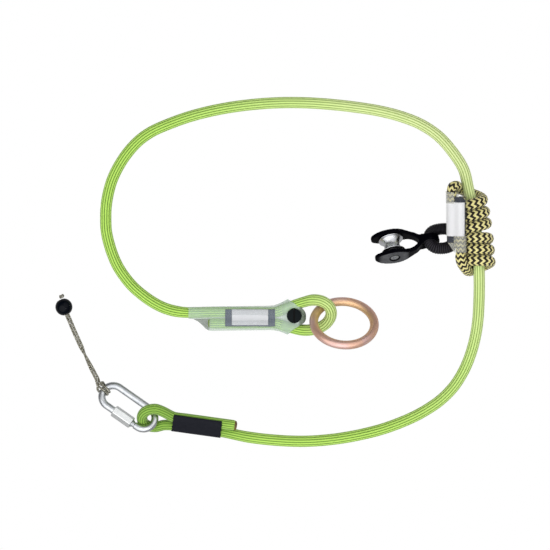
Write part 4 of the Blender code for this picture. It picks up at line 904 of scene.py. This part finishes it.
def makeRingSleeve(clear):
    # Each section: y = middle - half * cos(u), height over the strands, thin fins beyond them
    stations = np.array(sleeveStations)
    at = stations[:, 0]
    along = np.unique(np.r_[np.linspace(at[0], at[-1], film["rows"]), at])[:, None]
    upperY, upperZ, lowerY, lowerZ = (np.interp(along, at, stations[:, k]) for k in range(1, 5))
    turns = np.linspace(0, np.pi, film["columns"] // 2 + 1)
    share = (1 - np.cos(turns)) / 2
    y = lowerY + share * (upperY - lowerY)
    middle = lowerZ + share * (upperZ - lowerZ)
    # The two strands below, one of which ends at the tail
    route = smoothCurve(ringEndPoints, 20)
    turn = int(np.argmax(route[:, 0]))
    lowLeg = np.interp(along, route[:turn, 0], route[:turn, 1], left=ringEnd["lower"])
    highLeg = np.interp(along, route[turn:, 0][::-1], route[turn:, 1][::-1])
    tail = np.clip((along - ringEndPoints[0][0]) / film["tailOver"] + 0.5, 0, 1)
    outside = np.where(tail > 0.5, np.maximum(np.maximum(lowLeg - y, y - highLeg), 0), np.abs(y - highLeg))
    over = film["thick"] * (1 - np.clip(outside / film["drape"], 0, 1) ** 3)
    start = at[-5]
    over = over * np.sqrt(1 - (np.clip(along - start, 0, None) / (along[-1] + 0.0002 - start)) ** 2)
    between = np.clip((y - lowLeg) / np.maximum(highLeg - lowLeg, 1e-6), 0, 1)
    over = over - film["valley"] * np.sin(np.pi * between) ** 2 * tail
    height = np.maximum(over, film["fin"]) * np.sqrt(np.clip(np.sin(turns) / film["edgeShare"], 0, 1))
    # Pressed flat under the screw's head and on the barrel's, and never below the table
    seat = np.hypot(along - keeper["x"], y - keeper["y"]) < film["seat"]
    top = np.minimum(middle + height, np.where(seat, film["seatTop"], np.inf))
    bottom = np.maximum(middle - height, np.where(seat, film["seatUnder"], film["table"]))

    def outlines(*heights):
        # One closed outline a row: over the top from the lower edge, and back underneath
        over, back = (np.stack(np.broadcast_arrays(along, y, z), axis=-1) for z in heights)
        return np.concatenate([over[:, 1:], back[:, -2::-1]], axis=1)

    outer = outlines(top, bottom)
    toMiddle = outlines(middle, middle) - outer
    centre = np.stack([along, (lowerY + upperY) / 2, (lowerZ + upperZ) / 2], axis=-1)
    room = film["wallMost"] * np.linalg.norm(toMiddle, axis=-1, keepdims=True)
    inner = outer + unit(toMiddle + film["towards"] * (centre - outer)) * np.minimum(film["wall"], room)
    piece = wallTube("ringSleeve", outer, inner, along[:, 0], np.linspace(0, 1, outer.shape[1] + 1))
    finishPiece(piece, "rope", clear, "clear_sleeve", "ring_end_sleeve")


keeper = {"x": 0.01906, "y": -0.00582, "head": 0.0071, "top": 0.0169, "under": 0.0149, "slot": 0.0009,
          "slotDepth": 0.0012, "edge": 0.0006, "crown": 0.00035, "barrel": 0.004, "foot": (0.00015, 0.00215),
          "shank": 0.0025, "play": 0.0003, "barrelTop": 0.0146, "boreDepth": 0.0095, "shankEnd": 0.0056}


def blackGloss(name, roughness=0.12):
    return cloudyFinish(name, 160, 3, 0.12, roughness, Base_Color=(0.003, 0.005, 0.006),
                        Specular_IOR_Level=0.07)


def makeKeeper(gloss):
    # Head in slices: (x, s * sqrt(R^2 - x^2)), rounded at the rim, lower where |x| is inside the slot
    radius, slot, edge, under = (keeper[key] for key in ("head", "slot", "edge", "under"))
    side = radius * np.sin(np.linspace(math.asin((slot + 0.0001) / radius), np.pi / 2, 40)[:-1])
    half = np.r_[np.linspace(0, slot, 6), slot + 0.00002, side]
    x = np.r_[-half[:0:-1], half]
    y = np.sin(np.linspace(-np.pi / 2, np.pi / 2, 49)) * np.sqrt(radius ** 2 - x ** 2)[:, None]
    reach = np.hypot(x[:, None], y)
    rim = np.clip((reach - (radius - edge)) / edge, 0, 1)
    top = keeper["top"] - edge * (1 - np.sqrt(1 - rim ** 2)) - keeper["crown"] * (reach / radius) ** 2
    top = np.where(np.abs(x)[:, None] <= slot, keeper["top"] - keeper["slotDepth"], top)
    base = np.array((keeper["x"], keeper["y"], 0.0))
    upper, lower = (np.stack(np.broadcast_arrays(x[:, None], y, z), axis=-1) + base
                    for z in (top, under + 0.0002 * rim))
    ends = [base + (sign * radius, 0.0, (keeper["top"] + under) / 2) for sign in (-1, 1)]
    slices = np.concatenate([upper, lower[:, ::-1]], axis=1)
    head = skin("screwHead", slices, x, centres=ends, sharp=32)
    slotted = blackGloss("slottedGloss", 0.2)
    # Painted shade: the slot is pure black inside, a little less black beside it
    beside = slotted.weave()[0].size().rise(slot - 0.0001, slot + 0.0001)
    slotted.colour(slotted.mix(beside, (0.0, 0.0, 0.0), (0.002, 0.005, 0.006)))
    finishPiece(head, "rope", slotted, "gloss_black", "keeper_screw")
    shank, start, play = keeper["shank"], keeper["shankEnd"], keeper["play"]
    profile = [(0.0, start), (shank - play, start), (shank, start + play), (shank, under), (0.0, under)]
    piece = turnedSkin("screwShank", softened(profile, 0.0002), base, up, 48)
    finishPiece(piece, "rope", gloss, "gloss_black")
    low, high = keeper["foot"]
    top, bore = keeper["barrelTop"], shank + play
    floor = top - keeper["boreDepth"]
    profile = [(0.0, floor), (bore, floor), (bore, top), (keeper["barrel"], top), (keeper["barrel"], high),
               (radius, high), (radius, low), (0.0, low)]
    piece = turnedSkin("barrel", softened(profile, 0.0005), base, up, 96)
    finishPiece(piece, "rope", gloss, "gloss_black", "keeper_barrel")


# Steel ring

ringSizes = {"radius": 0.02925, "wire": 0.00425, "around": 420, "across": 72,
             "rose": (0.80, 0.49, 0.37), "gold": (0.80, 0.51, 0.27), "pink": (0.78, 0.52, 0.48),
             "worn": (0.34, 0.20, 0.16), "cloudScale": 55, "scratchAlong": 90, "scratchAround": 60}


def makeRing():
    # Torus: centre + (R + r cos v) * (cos u, sin u) + r sin v * axis
    axis = jointAxis("ring_turn")
    u, v = fullTurn(ringSizes["around"]), fullTurn(ringSizes["across"])[:, None]
    radius, wire = ringSizes["radius"], ringSizes["wire"]
    outward = spokes(u, *acrossAxes(axis))[:, None]
    points = jointPoint("ring_turn") + (radius + wire * np.cos(v)) * outward + wire * np.sin(v) * axis
    piece = skin("steelRing", points, u * radius, closedAlong=True)
    finish = Finish("roseZinc", Metallic=0.72, Specular_IOR_Level=0.3)
    along, around = finish.weave()
    # Gold on the inner side of the wire: the coating's own iridescent tint, and a painted reflection placed
    # where the angle of view shows it
    inner = ((around - 0.5).size() * -1 + 0.5).rise(0.2, 0.42)
    cloud = finish.noise(ringSizes["cloudScale"], 3)
    drawn = finish.joined(along * ringSizes["scratchAlong"], around * ringSizes["scratchAround"])
    scratch = finish.noise(1.0, 3, drawn)
    colour = finish.mix(cloud.rise(0.4, 0.62), ringSizes["rose"], ringSizes["pink"])
    colour = finish.mix(inner * 0.85, colour, ringSizes["gold"])
    colour = finish.mix(scratch.rise(0.58, 0.78) * 0.7, colour, ringSizes["worn"])
    finish.colour(colour)
    finish.rough(scratch * 0.18 + cloud * 0.1 + 0.27)
    finish.bump(scratch, 0.00012, 0.45)
    finishPiece(piece, "ring", finish, "rose_zinc", "steel_ring")


# Quick link

def zincFinish(name, roughness=0.24, bright=(0.64, 0.66, 0.68), dull=(0.46, 0.48, 0.51)):
    # Bright zinc: a little cloudy, with fine drawn lines
    finish = Finish(name, Metallic=1.0, Roughness=roughness)
    cloud = finish.noise(130, 3)
    fine = finish.noise(2600, 2)
    finish.colour(finish.mix(cloud.rise(0.35, 0.7), bright, dull))
    finish.rough(roughness + cloud * 0.12)
    finish.bump(fine, 0.00006, 0.3)
    return finish


linkThread = {"pitch": 0.001, "depth": 0.0003, "length": 0.010, "start": 0.0016, "groove": (0.0024, 0.0046),
              "grooveDepth": 0.0007, "chamfer": 0.0008, "step": 0.00022, "around": 56}


def makeLink(zinc):
    # Wire along two straights and two bows: radius - thread(along), with a turned groove by the nut
    bow, gateStart = link["bow"], link["gateStart"]
    halfTurn = np.radians(np.linspace(90, -90, 90))
    far = placed(linkAxes, link["between"]) + bow * spokes(halfTurn, linkX, linkY)
    near = linkCentre + bow * spokes(halfTurn - np.pi, linkX, linkY)
    path = np.vstack([placed(linkAxes, gateStart + link["gateWidth"], bow), far, near,
                      placed(linkAxes, gateStart, bow)])
    line, along, _ = evenSteps(path, linkThread["step"])
    turn = np.arange(linkThread["around"]) / linkThread["around"]
    along = along[:, None]
    toEnd = along[-1] - along
    helix = np.abs(np.mod(along / linkThread["pitch"] + turn, 1) * 2 - 1)
    threaded = (np.clip((linkThread["length"] - along) / 0.0006, 0, 1)
                + np.clip((linkThread["start"] - toEnd) / 0.0004, 0, 1))
    low, high = linkThread["groove"]
    within = np.clip(np.minimum(toEnd - low, high - toEnd) / 0.0003, 0, 1)
    chamfer = linkThread["chamfer"] * (1 - np.clip(np.minimum(along, toEnd) / linkThread["chamfer"], 0, 1))
    radius = (link["wire"] / 2 - threaded * linkThread["depth"] * helix
              - linkThread["grooveDepth"] * within ** 2 * (3 - 2 * within) - chamfer)
    piece = skin("linkWire", aboutLine(line, radius, 2 * np.pi * turn, linkZ), along[:, 0])
    finishPiece(piece, "link", zinc, "bright_zinc", "link_body")


nutSizes = {"bore": 0.0038, "chamfer": 0.0009, "cone": 1.5, "coneReach": 0.002, "sharpness": 34,
            "around": 180}


def hexagonal(turns, apothem, sharpness):
    # A rounded hexagon: r(t) = apothem / (sum of cos(t - k 60)^p)^(1/p)
    faces = np.maximum(np.cos(turns[:, None] - np.radians(np.arange(30, 390, 60))), 1e-3)
    return apothem / (faces ** sharpness).sum(1) ** (1 / sharpness)


def makeNut(zinc):
    # The hexagon is cut back by a cone at both ends; the bore comes back inside it
    length, bore, reach = link["nutLength"], nutSizes["bore"], nutSizes["coneReach"]
    apothem = link["nutFlats"] / 2
    turn = fullTurn(nutSizes["around"])
    depth = np.r_[0.0, 0.0001, 0.0003, 0.0006, 0.0009, 0.0012, 0.0016]
    outerX = np.r_[depth, np.linspace(reach, length - reach, 24), length - depth[::-1]]
    toEnd = np.minimum(outerX, length - outerX)
    cone = apothem / math.cos(math.pi / 6) - nutSizes["chamfer"] + np.minimum(toEnd, reach) * nutSizes["cone"]
    radius = np.minimum(hexagonal(turn, apothem, nutSizes["sharpness"]), cone[:, None])
    radius = radius - 0.0002 * (1 - np.clip(toEnd / 0.0003, 0, 1))[:, None]
    innerX = np.r_[length, length - 0.0002, length - 0.0012, 0.0012, 0.0002, 0.0]
    innerR = bore + np.r_[0.0005, 0.0003, 0.0, 0.0, 0.0003, 0.0005]
    radius = np.vstack([radius, np.repeat(innerR[:, None], len(turn), axis=1)])
    centre = placed(linkAxes, link["gateStart"] - link["nutOverlap"] + np.r_[outerX, innerX], link["bow"])
    points = centre[:, None] + radius[..., None] * spokes(turn, linkY, linkZ)
    finishPiece(skin("linkNut", points, closedAlong=True, sharp=24), "nut", zinc, "bright_zinc", "link_nut")


# Link end: whipped stitching round the main strand and over the tail

linkEnd = {"middle": (-0.07366, -0.11481, 0.0062), "along": (0.99063, -0.13658, 0.0), "length": 0.0456,
           "tail": (0.0081, 0.0069), "inner": 0.005565, "outer": 0.006015, "further": 0.0028}
whipping = {"columns": 96, "rows": 320, "pitch": 0.00085, "slant": 0.12, "height": 0.00022, "corner": 0.0004,
            "fray": 0.0011, "colour": srgb(10, 11, 18), "light": srgb(46, 48, 58)}


def makeLinkSewing(finish):
    # About the tail, straight to the main strand, half a turn about it, and back under to the tail
    along = unit(linkEnd["along"])
    axes = (linkEnd["middle"], np.cross(up, along), up, along)
    roll = math.degrees(math.atan2(linkEnd["tail"][1], linkEnd["tail"][0]))

    def channel(radius, count):
        outline = np.vstack([arcLine(linkEnd["tail"], radius, roll + 25, roll + 90),
                             arcLine((0.0, 0.0), radius, roll + 90, roll + 270),
                             arcLine(linkEnd["tail"], radius, roll + 270, roll + 284)])
        return evenOutline(outline, count)

    half = linkEnd["length"] / 2
    piece = sewnStrip("linkStitching", axes, channel, linkEnd["inner"], linkEnd["outer"],
                      (-half - linkEnd["further"], half), whipping)
    finishPiece(piece, "rope", finish, "black_thread", "link_end_stitching")


# Pull ball

def makeBall():
    # Sphere with a bore along the cord and small rounded lips: radius = sqrt(R^2 - h^2)
    radius = ballSizes["diameter"] / 2
    bore = ballSizes["bore"] / 2
    edge = math.degrees(math.acos((bore + ballSizes["lip"]) / radius))
    outer = arcLine((0.0, 0.0), radius, edge, -edge, 90)
    lip, half = outer[0, 1] - ballSizes["lip"], ballSizes["lipHalf"]
    inner = np.array([(bore, 0.0), (bore, lip - half), (bore + ballSizes["lipOut"], lip + half)])
    profile = np.vstack([outer, inner[:0:-1] * (1, -1), inner])
    piece = turnedSkin("pullBall", profile, ballCentre, cordAlong, 128, closed=True, sharp=80)
    finish = cloudyFinish("ballGloss", 260, 3, 0.14, 0.04, Base_Color=(0.001, 0.002, 0.005),
                          Specular_IOR_Level=0.1)
    finishPiece(piece, "ball", finish, "gloss_black", "ball")


# Friction hitch

hitch = {"diameter": 0.010, "middleAngle": 7.04, "wrapRadius": 0.0111, "start": 0.0036, "pitch": 0.0109,
         "sway": 0.5, "from": 0.1, "turns": 2.8, "perTurn": 24, "topLift": 0.0095, "bottomLift": 0.002,
         "liftFrom": 0.55, "liftOver": 0.5, "lap": 0.84, "bight": 0.83, "bightRadius": 0.0108, "sunk": 0.0003,
         "yellow": srgb(228, 216, 128), "cream": srgb(246, 238, 182), "black": srgb(20, 14, 5),
         "brown": srgb(50, 40, 16)}
hitchBraid = {"columns": 6, "pitch": 0.0044, "slope": 0.5, "strandDepth": 0.00012, "columnDepth": 0.00022,
              "step": 0.0005, "around": 72, "strands": 4, "fullness": 0.00032}
lap = {"middle": (0.17476, 0.08518, 0.0318), "along": (0.0, 0.99572, 0.09237),
       "across": (0.89649, -0.04093, 0.44118), "half": 0.0046, "left": (-0.0218, 0.0255),
       "right": (-0.0296, 0.0234), "dip": 0.0005, "stitch": (0.00455, 0.00485),
       "stitchEnds": (-0.0203, 0.0238), "step": 0.0065, "stepOver": 0.0005, "bend": 0.0030,
       "label": (0.00505, 0.00525), "labelEnds": (-0.0142, 0.0186), "labelAngles": (150, 16),
       "sleeve": (0.00545, 0.0059), "sleeveEnds": (-0.0296, 0.0283), "sleeveDip": 0.0006, "cut": 0.016,
       "cutFrom": 0.0005, "topCut": 0.0022, "wavy": 0.0003, "columns": 120, "sleeveRows": 120,
       "flareLow": 0.03, "flareHigh": 0.02, "flareRate": 30}
lapAlong = unit(lap["along"])
lapAcross = unit(lap["across"])
lapUp = np.cross(lapAcross, lapAlong)
lapAxes = (lap["middle"], lapAcross, lapUp, lapAlong)
topTurnPoints = millimetres([
    (170.1, 114.8, 31.6), (171.8, 118, 29.6), (174.7, 118.9, 25.8), (175.6, 118.8, 20.5),
    (175, 118.6, 14.9),
])
legInPoints = millimetres([
    (181.06, 78.48, 17.4), (176.36, 77.98, 12.9), (170.86, 77.68, 9.4), (164.76, 78.08, 7),
    (158.76, 77.68, 6.35),
])
legOutPoints = millimetres([
    (161.76, 59.28, 16.8), (166.56, 60.08, 16.1), (171.86, 62.58, 14.4), (176.96, 65.68, 14.3),
    (182.16, 67.88, 17.8),
])
bottomTurnPoints = millimetres([
    (186.1, 38, 14.5), (184.5, 39.8, 19.6), (182.2, 42.4, 24.5), (179.9, 46.6, 28.2), (179, 51.2, 30.2),
])
sheath = {"rib": 0.0058, "groove": 0.0050, "bore": 0.0045, "pitch": 0.0017, "fromX": 0.17096, "around": 64,
          "step": 0.00012}
pulley = {"reach": 0.0365, "cheekOuter": 0.0138, "recess": (0.0050, 0.0058), "faceDepth": (0.0126, 0.0137),
          "voxel": 0.00038, "smooth": 6}
pulleyP = unit((0.983, 0.150, -0.1045))
pulleyA = np.array((0.13, -0.86, 0.50))
pulleyA = unit(pulleyA - (pulleyA @ pulleyP) * pulleyP)
axleCentre = jointPoint("sheave_spin")
headCentre = axleCentre + pulley["reach"] * pulleyP


def hitchWraps(side, lift):
    # Turns about the rope's arc, each straight over its front and stepping on at its back
    last = hitch["from"] + hitch["turns"]
    turns = np.arange(hitch["from"], last, 1 / hitch["perTurn"])
    swayed = turns - hitch["sway"] / (2 * np.pi) * (1 - np.cos(2 * np.pi * turns))
    lifted = lift * np.clip((turns - last + hitch["liftFrom"]) / hitch["liftOver"], 0, 1) ** 2
    phase = np.pi * (3 - 2 * turns)
    along = side * (hitch["start"] + hitch["pitch"] * swayed + lifted)
    outward = spokes(math.radians(hitch["middleAngle"]) + along / rope["arcRadius"], (1, 0, 0), (0, 1, 0))
    reach = rope["arcRadius"] + hitch["wrapRadius"] * np.cos(phase)
    return placed((rope["arcCentre"], up), hitch["wrapRadius"] * np.sin(phase)) + reach[:, None] * outward


def bightPoints():
    radius = hitch["bightRadius"]
    turns = np.radians(np.arange(64, -65, -16))
    return headCentre + (radius - hitch["sunk"]) * pulleyP - radius * spokes(turns, pulleyP, pulleyA)


def hitchFinish():
    # Yellow and black in turn: the colour changes each half pitch, over every column of chevrons
    finish = Finish("zigzagBraid", Sheen_Weight=0.25, Sheen_Roughness=0.4, Specular_IOR_Level=0.35)
    _, _, phase, strand, _ = braidShading(finish, hitchBraid)
    fibre = finish.noise(1300, 3)
    band = (phase.fraction() - 0.5).size()
    pale = finish.mix(fibre.rise(0.35, 0.7), hitch["yellow"], hitch["cream"])
    dark = finish.mix(fibre.rise(0.45, 0.75), hitch["black"], hitch["brown"])
    colour = finish.mix(band.rise(0.255, 0.285), dark, pale)
    # Painted shade: blacker in the gaps between strands
    colour = finish.mix((1 - strand) ** 3 * 0.5, colour, hitch["black"])
    finish.colour(colour)
    finish.rough(fibre * 0.25 + 0.5)
    finish.bump(strand * 0.7 + fibre * 0.3, 0.00025, 0.7)
    return finish


def makeHitch(finish):
    upper = hitchWraps(1.0, hitch["topLift"])
    lower = hitchWraps(-1.0, hitch["bottomLift"])
    left, right = (placed(lapAxes, way * lap["half"], 0, np.linspace(*lap[key], 4))
                   for way, key in ((-1, "left"), (1, "right")))
    bight = bightPoints()
    route = np.vstack([left, topTurnPoints, upper[::-1], legInPoints, bight, legOutPoints, lower,
                       bottomTurnPoints, right])
    counts = (len(left) + 1, len(topTurnPoints) + len(upper) + 1, len(bight) + 6,
              len(lower) + len(bottomTurnPoints) + 2, len(right))
    squeeze = np.repeat((hitch["lap"], 1.0, hitch["bight"], 1.0, hitch["lap"]), counts)
    path = smoothCurve(route, 6)
    piece, _ = braidedTube("hitchCord", path, hitch["diameter"], spread(squeeze, 6), hitchBraid, lapUp)
    finishPiece(piece, "hitch", finish, "zigzag_cord", "hitch_cord")


def makeSheath():
    # Ribs along the bight: radius = groove + (rib - groove) * |cos(pi * along / pitch)|^0.6
    source = smoothCurve(np.vstack([legInPoints, bightPoints(), legOutPoints]), 24)
    crestHighlight = int(np.argmin(source[:, 0]))
    toEnd = np.abs(source[:, 0] - sheath["fromX"])
    first, last = int(np.argmin(toEnd[:crestHighlight])), crestHighlight + int(np.argmin(toEnd[crestHighlight:]))
    line, along, _ = evenSteps(source[first:last + 1], sheath["step"])
    ridge = np.abs(np.cos(np.pi * along / sheath["pitch"])) ** 0.6
    ribbed = sheath["groove"] + (sheath["rib"] - sheath["groove"]) * ridge
    outer, inner = (aboutLine(line, radius[:, None], fullTurn(sheath["around"]), up)
                    for radius in (ribbed, np.full(len(line), sheath["bore"])))
    piece = wallTube("bightSheath", outer, inner, along, np.linspace(0, 1, sheath["around"] + 1))
    finish = Finish("blackSheath", Base_Color=(0.012, 0.011, 0.016), Roughness=0.42, Specular_IOR_Level=0.14)
    # Painted highlight on the crests of the ribs, and painted shade in the grooves
    ridge = (finish.weave()[0] * (np.pi / sheath["pitch"]) + np.pi / 2).sine().size()
    finish.colour(finish.mix(ridge ** 2, (0.0005, 0.0005, 0.0005), (0.030, 0.028, 0.036)))
    finish.bump(finish.noise(900, 3), 0.0001, 0.5)
    finishPiece(piece, "hitch", finish, "black_sheath", "bight_sheath")


lapSewing = {"rows": 320, "pitch": 0.00085, "slant": 0.0, "height": 0.00014, "colour": srgb(14, 20, 38),
             "light": srgb(44, 52, 74)}


def lapSections(size, dip):
    # Outer and inner outline about both strands, and the distance round
    inner, outer = lap[size]
    section, marks = pairBand(outer, lap["half"], lap["columns"], dip)
    return section, pairBand(inner, lap["half"], lap["columns"], dip)[0], marks, lap["half"] + outer


def lapTube(name, section, under, marks, along, ends):
    outer, inner = (placed(lapAxes, face[..., 0], face[..., 1], along) for face in (section, under))
    around = np.r_[marks, marks[-1] + marks[1]]
    return wallTube(name, outer, inner, np.linspace(*ends, len(along)), around)


def makeLapSewing(navy, paper, clear):
    # A band round both strands, stepped at opposite corners: ends(across) pulled in on one half each
    section, under, marks, side = lapSections("stitch", lap["dip"])
    across = section[:, 0]
    nearSide = np.clip((np.abs(across) - (side - lap["bend"])) / lap["bend"], 0, 1)
    corner = lap["bend"] * (1 - np.sqrt(1 - nearSide ** 2))
    step = lap["step"] / 2 * (1 + np.tanh(across / lap["stepOver"]))
    low = lap["stitchEnds"][0] + step + corner * (across < 0)
    high = lap["stitchEnds"][1] - (lap["step"] - step) - corner * (across > 0)
    along = low + np.linspace(0, 1, lapSewing["rows"])[:, None] * (high - low)
    lift = lapSewing["height"] * (threads(along, marks, lapSewing) - 1)
    thick = np.linalg.norm(section - under, axis=1) + lift
    top = under + unit(section - under) * thick[..., None]
    piece = lapTube("lapStitching", top, under, marks, along, lap["stitchEnds"])
    finishPiece(piece, "hitch", navy, "navy_thread", "hitch_stitching")
    half, dip, angles = lap["half"], lap["dip"], lap["labelAngles"]
    piece = sewnStrip("lapLabel", lapAxes, lambda radius, count: pairStrip(radius, half, *angles, count, dip),
                      *lap["label"], lap["labelEnds"], tape)
    finishPiece(piece, "hitch", paper, "white_label", "hitch_label")
    # Clear sleeve: its lower left corner is cut off slantwise, and both ends flare
    section, under, marks, side = lapSections("sleeve", lap["sleeveDip"])
    across = section[:, 0]
    cutFrom = lap["cutFrom"]
    low = lap["sleeveEnds"][0] + lap["cut"] * np.clip((cutFrom - across) / (cutFrom + side), 0, 1)
    high = (lap["sleeveEnds"][1] - lap["topCut"] * np.clip(across / side, 0, 1)
            + lap["wavy"] * np.sin(marks / marks[-1] * 4 * np.pi))
    share = np.linspace(0, 1, lap["sleeveRows"])[:, None]
    along = low + share * (high - low)
    atLow, atHigh = (np.exp(-(lap["flareRate"] * far) ** 2) for far in (share, 1 - share))
    flare = (1 + lap["flareLow"] * atLow + lap["flareHigh"] * atHigh)[..., None]
    piece = lapTube("lapSleeve", section * flare, under * flare, marks, along, lap["sleeveEnds"])
    finishPiece(piece, "hitch", clear, "clear_sleeve", "hitch_sleeve")


# Pulley

def anodisedFinish():
    # Black anodised and tumbled: satin, with very fine pitting
    finish = Finish("blackAnodised", Specular_IOR_Level=0.04)
    pit = finish.noise(1800, 2)
    cloud = finish.noise(90, 2)
    # The outer faces of the cheeks, outside the axle's recess, are painted grey: a painted reflection of the
    # light they face
    outer = finish.reach(axleCentre, pulleyA).size().rise(*pulley["faceDepth"])
    outer = outer * finish.away(axleCentre + pulley["cheekOuter"] * pulleyA).rise(*pulley["recess"])
    paintedSheen = finish.mix(cloud.rise(0.3, 0.7), (0.064, 0.066, 0.073), (0.108, 0.111, 0.120))
    finish.colour(finish.mix(outer, (0.0005, 0.0005, 0.0020), paintedSheen))
    finish.rough(cloud * 0.12 + 0.29)
    finish.bump(pit, 0.00006, 0.35)
    return finish


def makePulleyBody(finish):
    # The solid's own faces, joined, filled by small cells and smoothed, as a forged and tumbled part is
    body = addObject("pulleyBody", bpy.data.objects["pulley_body"].data.copy())
    body.data.materials.clear()
    weld = body.modifiers.new("weld", "WELD")
    weld.merge_threshold = 0.00001
    cells = body.modifiers.new("cells", "REMESH")
    cells.mode = "VOXEL"
    cells.voxel_size = pulley["voxel"]
    cells.use_smooth_shade = True
    soft = body.modifiers.new("soft", "SMOOTH")
    soft.factor = 0.5
    soft.iterations = pulley["smooth"]
    bpy.context.view_layer.update()
    made = bpy.data.meshes.new_from_object(body.evaluated_get(bpy.context.evaluated_depsgraph_get()))
    made.name = "pulleyBody"
    body.modifiers.clear()
    body.data = made
    finishPiece(body, "pulley", finish, "black_anodised", "pulley_body")


sheaveSizes = {"radius": 0.012, "throat": 0.0076, "half": 0.0071, "bushOuter": 0.004, "bushInner": 0.0032,
               "washer": 0.0065, "washerLow": 0.0074, "washerHigh": 0.0087, "axle": 0.003, "head": 0.004,
               "headLow": 0.0119, "headHigh": 0.0133, "socket": 0.0015, "socketDepth": 0.001,
               "nutLow": 0.0119, "nutHigh": 0.0134, "lathe": 0.00022, "grooveTurn": 82,
               "grooveHeight": 0.9, "grooveShape": 0.85}


def flatRing(name, low, high, outer, soft, body, finish, slot, node):
    # A rectangle with softened corners, turned about the axle
    bore, middle = sheaveSizes["bushInner"], (low + high) / 2
    ring = [(bore, middle), (bore, high), (outer, high), (outer, low), (bore, low), (bore, middle)]
    piece = turnedSkin(name, softened(ring, soft)[:-1], axleCentre, pulleyA, 96, closed=True)
    finishPiece(piece, body, finish, slot, node)


def makeSheave():
    # Deep rounded groove: radius = throat + (rim - throat) * (1 - cos a)^0.85 at height 0.9 * half * sin a
    sizes = sheaveSizes
    half, radius, throat = sizes["half"], sizes["radius"], sizes["throat"]
    a = np.radians(np.linspace(-sizes["grooveTurn"], sizes["grooveTurn"], 61))
    groove = np.stack([throat + (radius - throat) * (1 - np.cos(a)) ** sizes["grooveShape"],
                       -sizes["grooveHeight"] * half * np.sin(a)], axis=1)
    bore = sizes["bushOuter"] + 0.0002
    rim = softened([(bore, 0.0), (bore, half), (radius - 0.0009, half), (radius - 0.0001, half - 0.0004),
                    groove[0]], 0.0003)
    profile = np.vstack([rim[1:-1], groove, (rim[1:-1] * (1, -1))[::-1]])
    piece = turnedSkin("sheaveWheel", profile, axleCentre, pulleyA, 180, closed=True, sharp=30)
    finish = cloudyFinish("turnedAluminium", 200, 2, 0.12, 0.17, ((0.74, 0.75, 0.77), (0.52, 0.53, 0.56)),
                          Metallic=1.0)
    finish.bump((finish.weave()[0] * (2 * np.pi / sizes["lathe"])).sine(), 0.00003, 0.25)
    finishPiece(piece, "sheave", finish, "silver_sheave", "sheave")
    bronze = cloudyFinish("bushBronze", 400, 2, 0.2, 0.25, Base_Color=(0.55, 0.38, 0.18), Metallic=1.0)
    flatRing("sheaveBush", -half, half, sizes["bushOuter"], 0.0002, "sheave", bronze, "bush_bronze",
             "sheave_bush")


def makeAxle():
    sizes = sheaveSizes
    near, far, head, axle = sizes["washerLow"], sizes["washerHigh"], sizes["head"], sizes["axle"]
    nylon = cloudyFinish("washerNylon", 500, 2, 0.2, 0.35, Base_Color=(0.03, 0.03, 0.035))
    for name, low, high, node in (("washerNear", near, far, "sheave_washer_near"),
                                  ("washerFar", -far, -near, "sheave_washer_far")):
        flatRing(name, low, high, sizes["washer"], 0.0003, "pulley", nylon, "washer_nylon", node)
    tones = ((0.26, 0.27, 0.29), (0.50, 0.51, 0.53))
    steel = cloudyFinish("axleSteel", 300, 3, 0.2, 0.18, tones, Metallic=1.0)
    # Head with a hexagon socket: rings from the socket's floor out, then the shank down to its far end
    corner = sizes["socket"] / math.cos(math.pi / 6)
    turn = fullTurn(96)
    hexagon = sizes["socket"] / np.max(np.cos(turn[:, None] - np.radians(np.arange(30, 390, 60))), axis=1)
    top, under = sizes["headHigh"], sizes["headLow"]
    floor = top - sizes["socketDepth"]
    rings = [(hexagon * 0.5, floor - 0.0003), (hexagon * 0.98, floor), (hexagon, floor + 0.0002),
             (hexagon, top - 0.0001), (hexagon + 0.0001, top), (corner + 0.0004, top), (head - 0.0004, top),
             (head - 0.0001, top - 0.0001), (head, top - 0.0004), (head, under + 0.0002),
             (head - 0.0002, under), (axle, under), (axle, 0.0), (axle, -top + 0.0003),
             (axle - 0.0003, -top)]
    about = spokes(turn, *acrossAxes(pulleyA))
    points = np.stack([axleCentre + height * pulleyA + np.broadcast_to(wide, len(turn))[:, None] * about
                       for wide, height in rings])
    piece = skin("axlePin", points, centres=(axleCentre + rings[0][1] * pulleyA, axleCentre - top * pulleyA),
                 sharp=35)
    finishPiece(piece, "pulley", steel, "steel", "axle")
    flatRing("axleRing", -sizes["nutHigh"], -sizes["nutLow"], head, 0.0003, "pulley", steel, "steel",
             "axle_nut")


makeCamera()
makeLight()
makeTable()
ropePath = makeRope()
makeTips(ropePath)
makePullCord()
print("camera, light, rope and pull cord made")
navyThread = threadFinish("navyThread", ringSewing)
bareTape = tapeFinish()
gloss = blackGloss("blackGloss")
makeRingSewing(navyThread, bareTape)
makeRingSleeve(ringFilm())
makeKeeper(gloss)
makeRing()
print("ring end made")
zinc = zincFinish("brightZinc")
makeLink(zinc)
makeNut(zincFinish("nutZinc", 0.3, (0.90, 0.92, 0.92), (0.80, 0.82, 0.82)))
makeLinkSewing(threadFinish("blackThread", whipping))
makeBall()
print("link end made")
makeHitch(hitchFinish())
makeSheath()
makeLapSewing(threadFinish("lapThread", lapSewing), bareTape, lapFilm())
print("hitch made")
makePulleyBody(anodisedFinish())
makeSheave()
makeAxle()
print("pulley made")
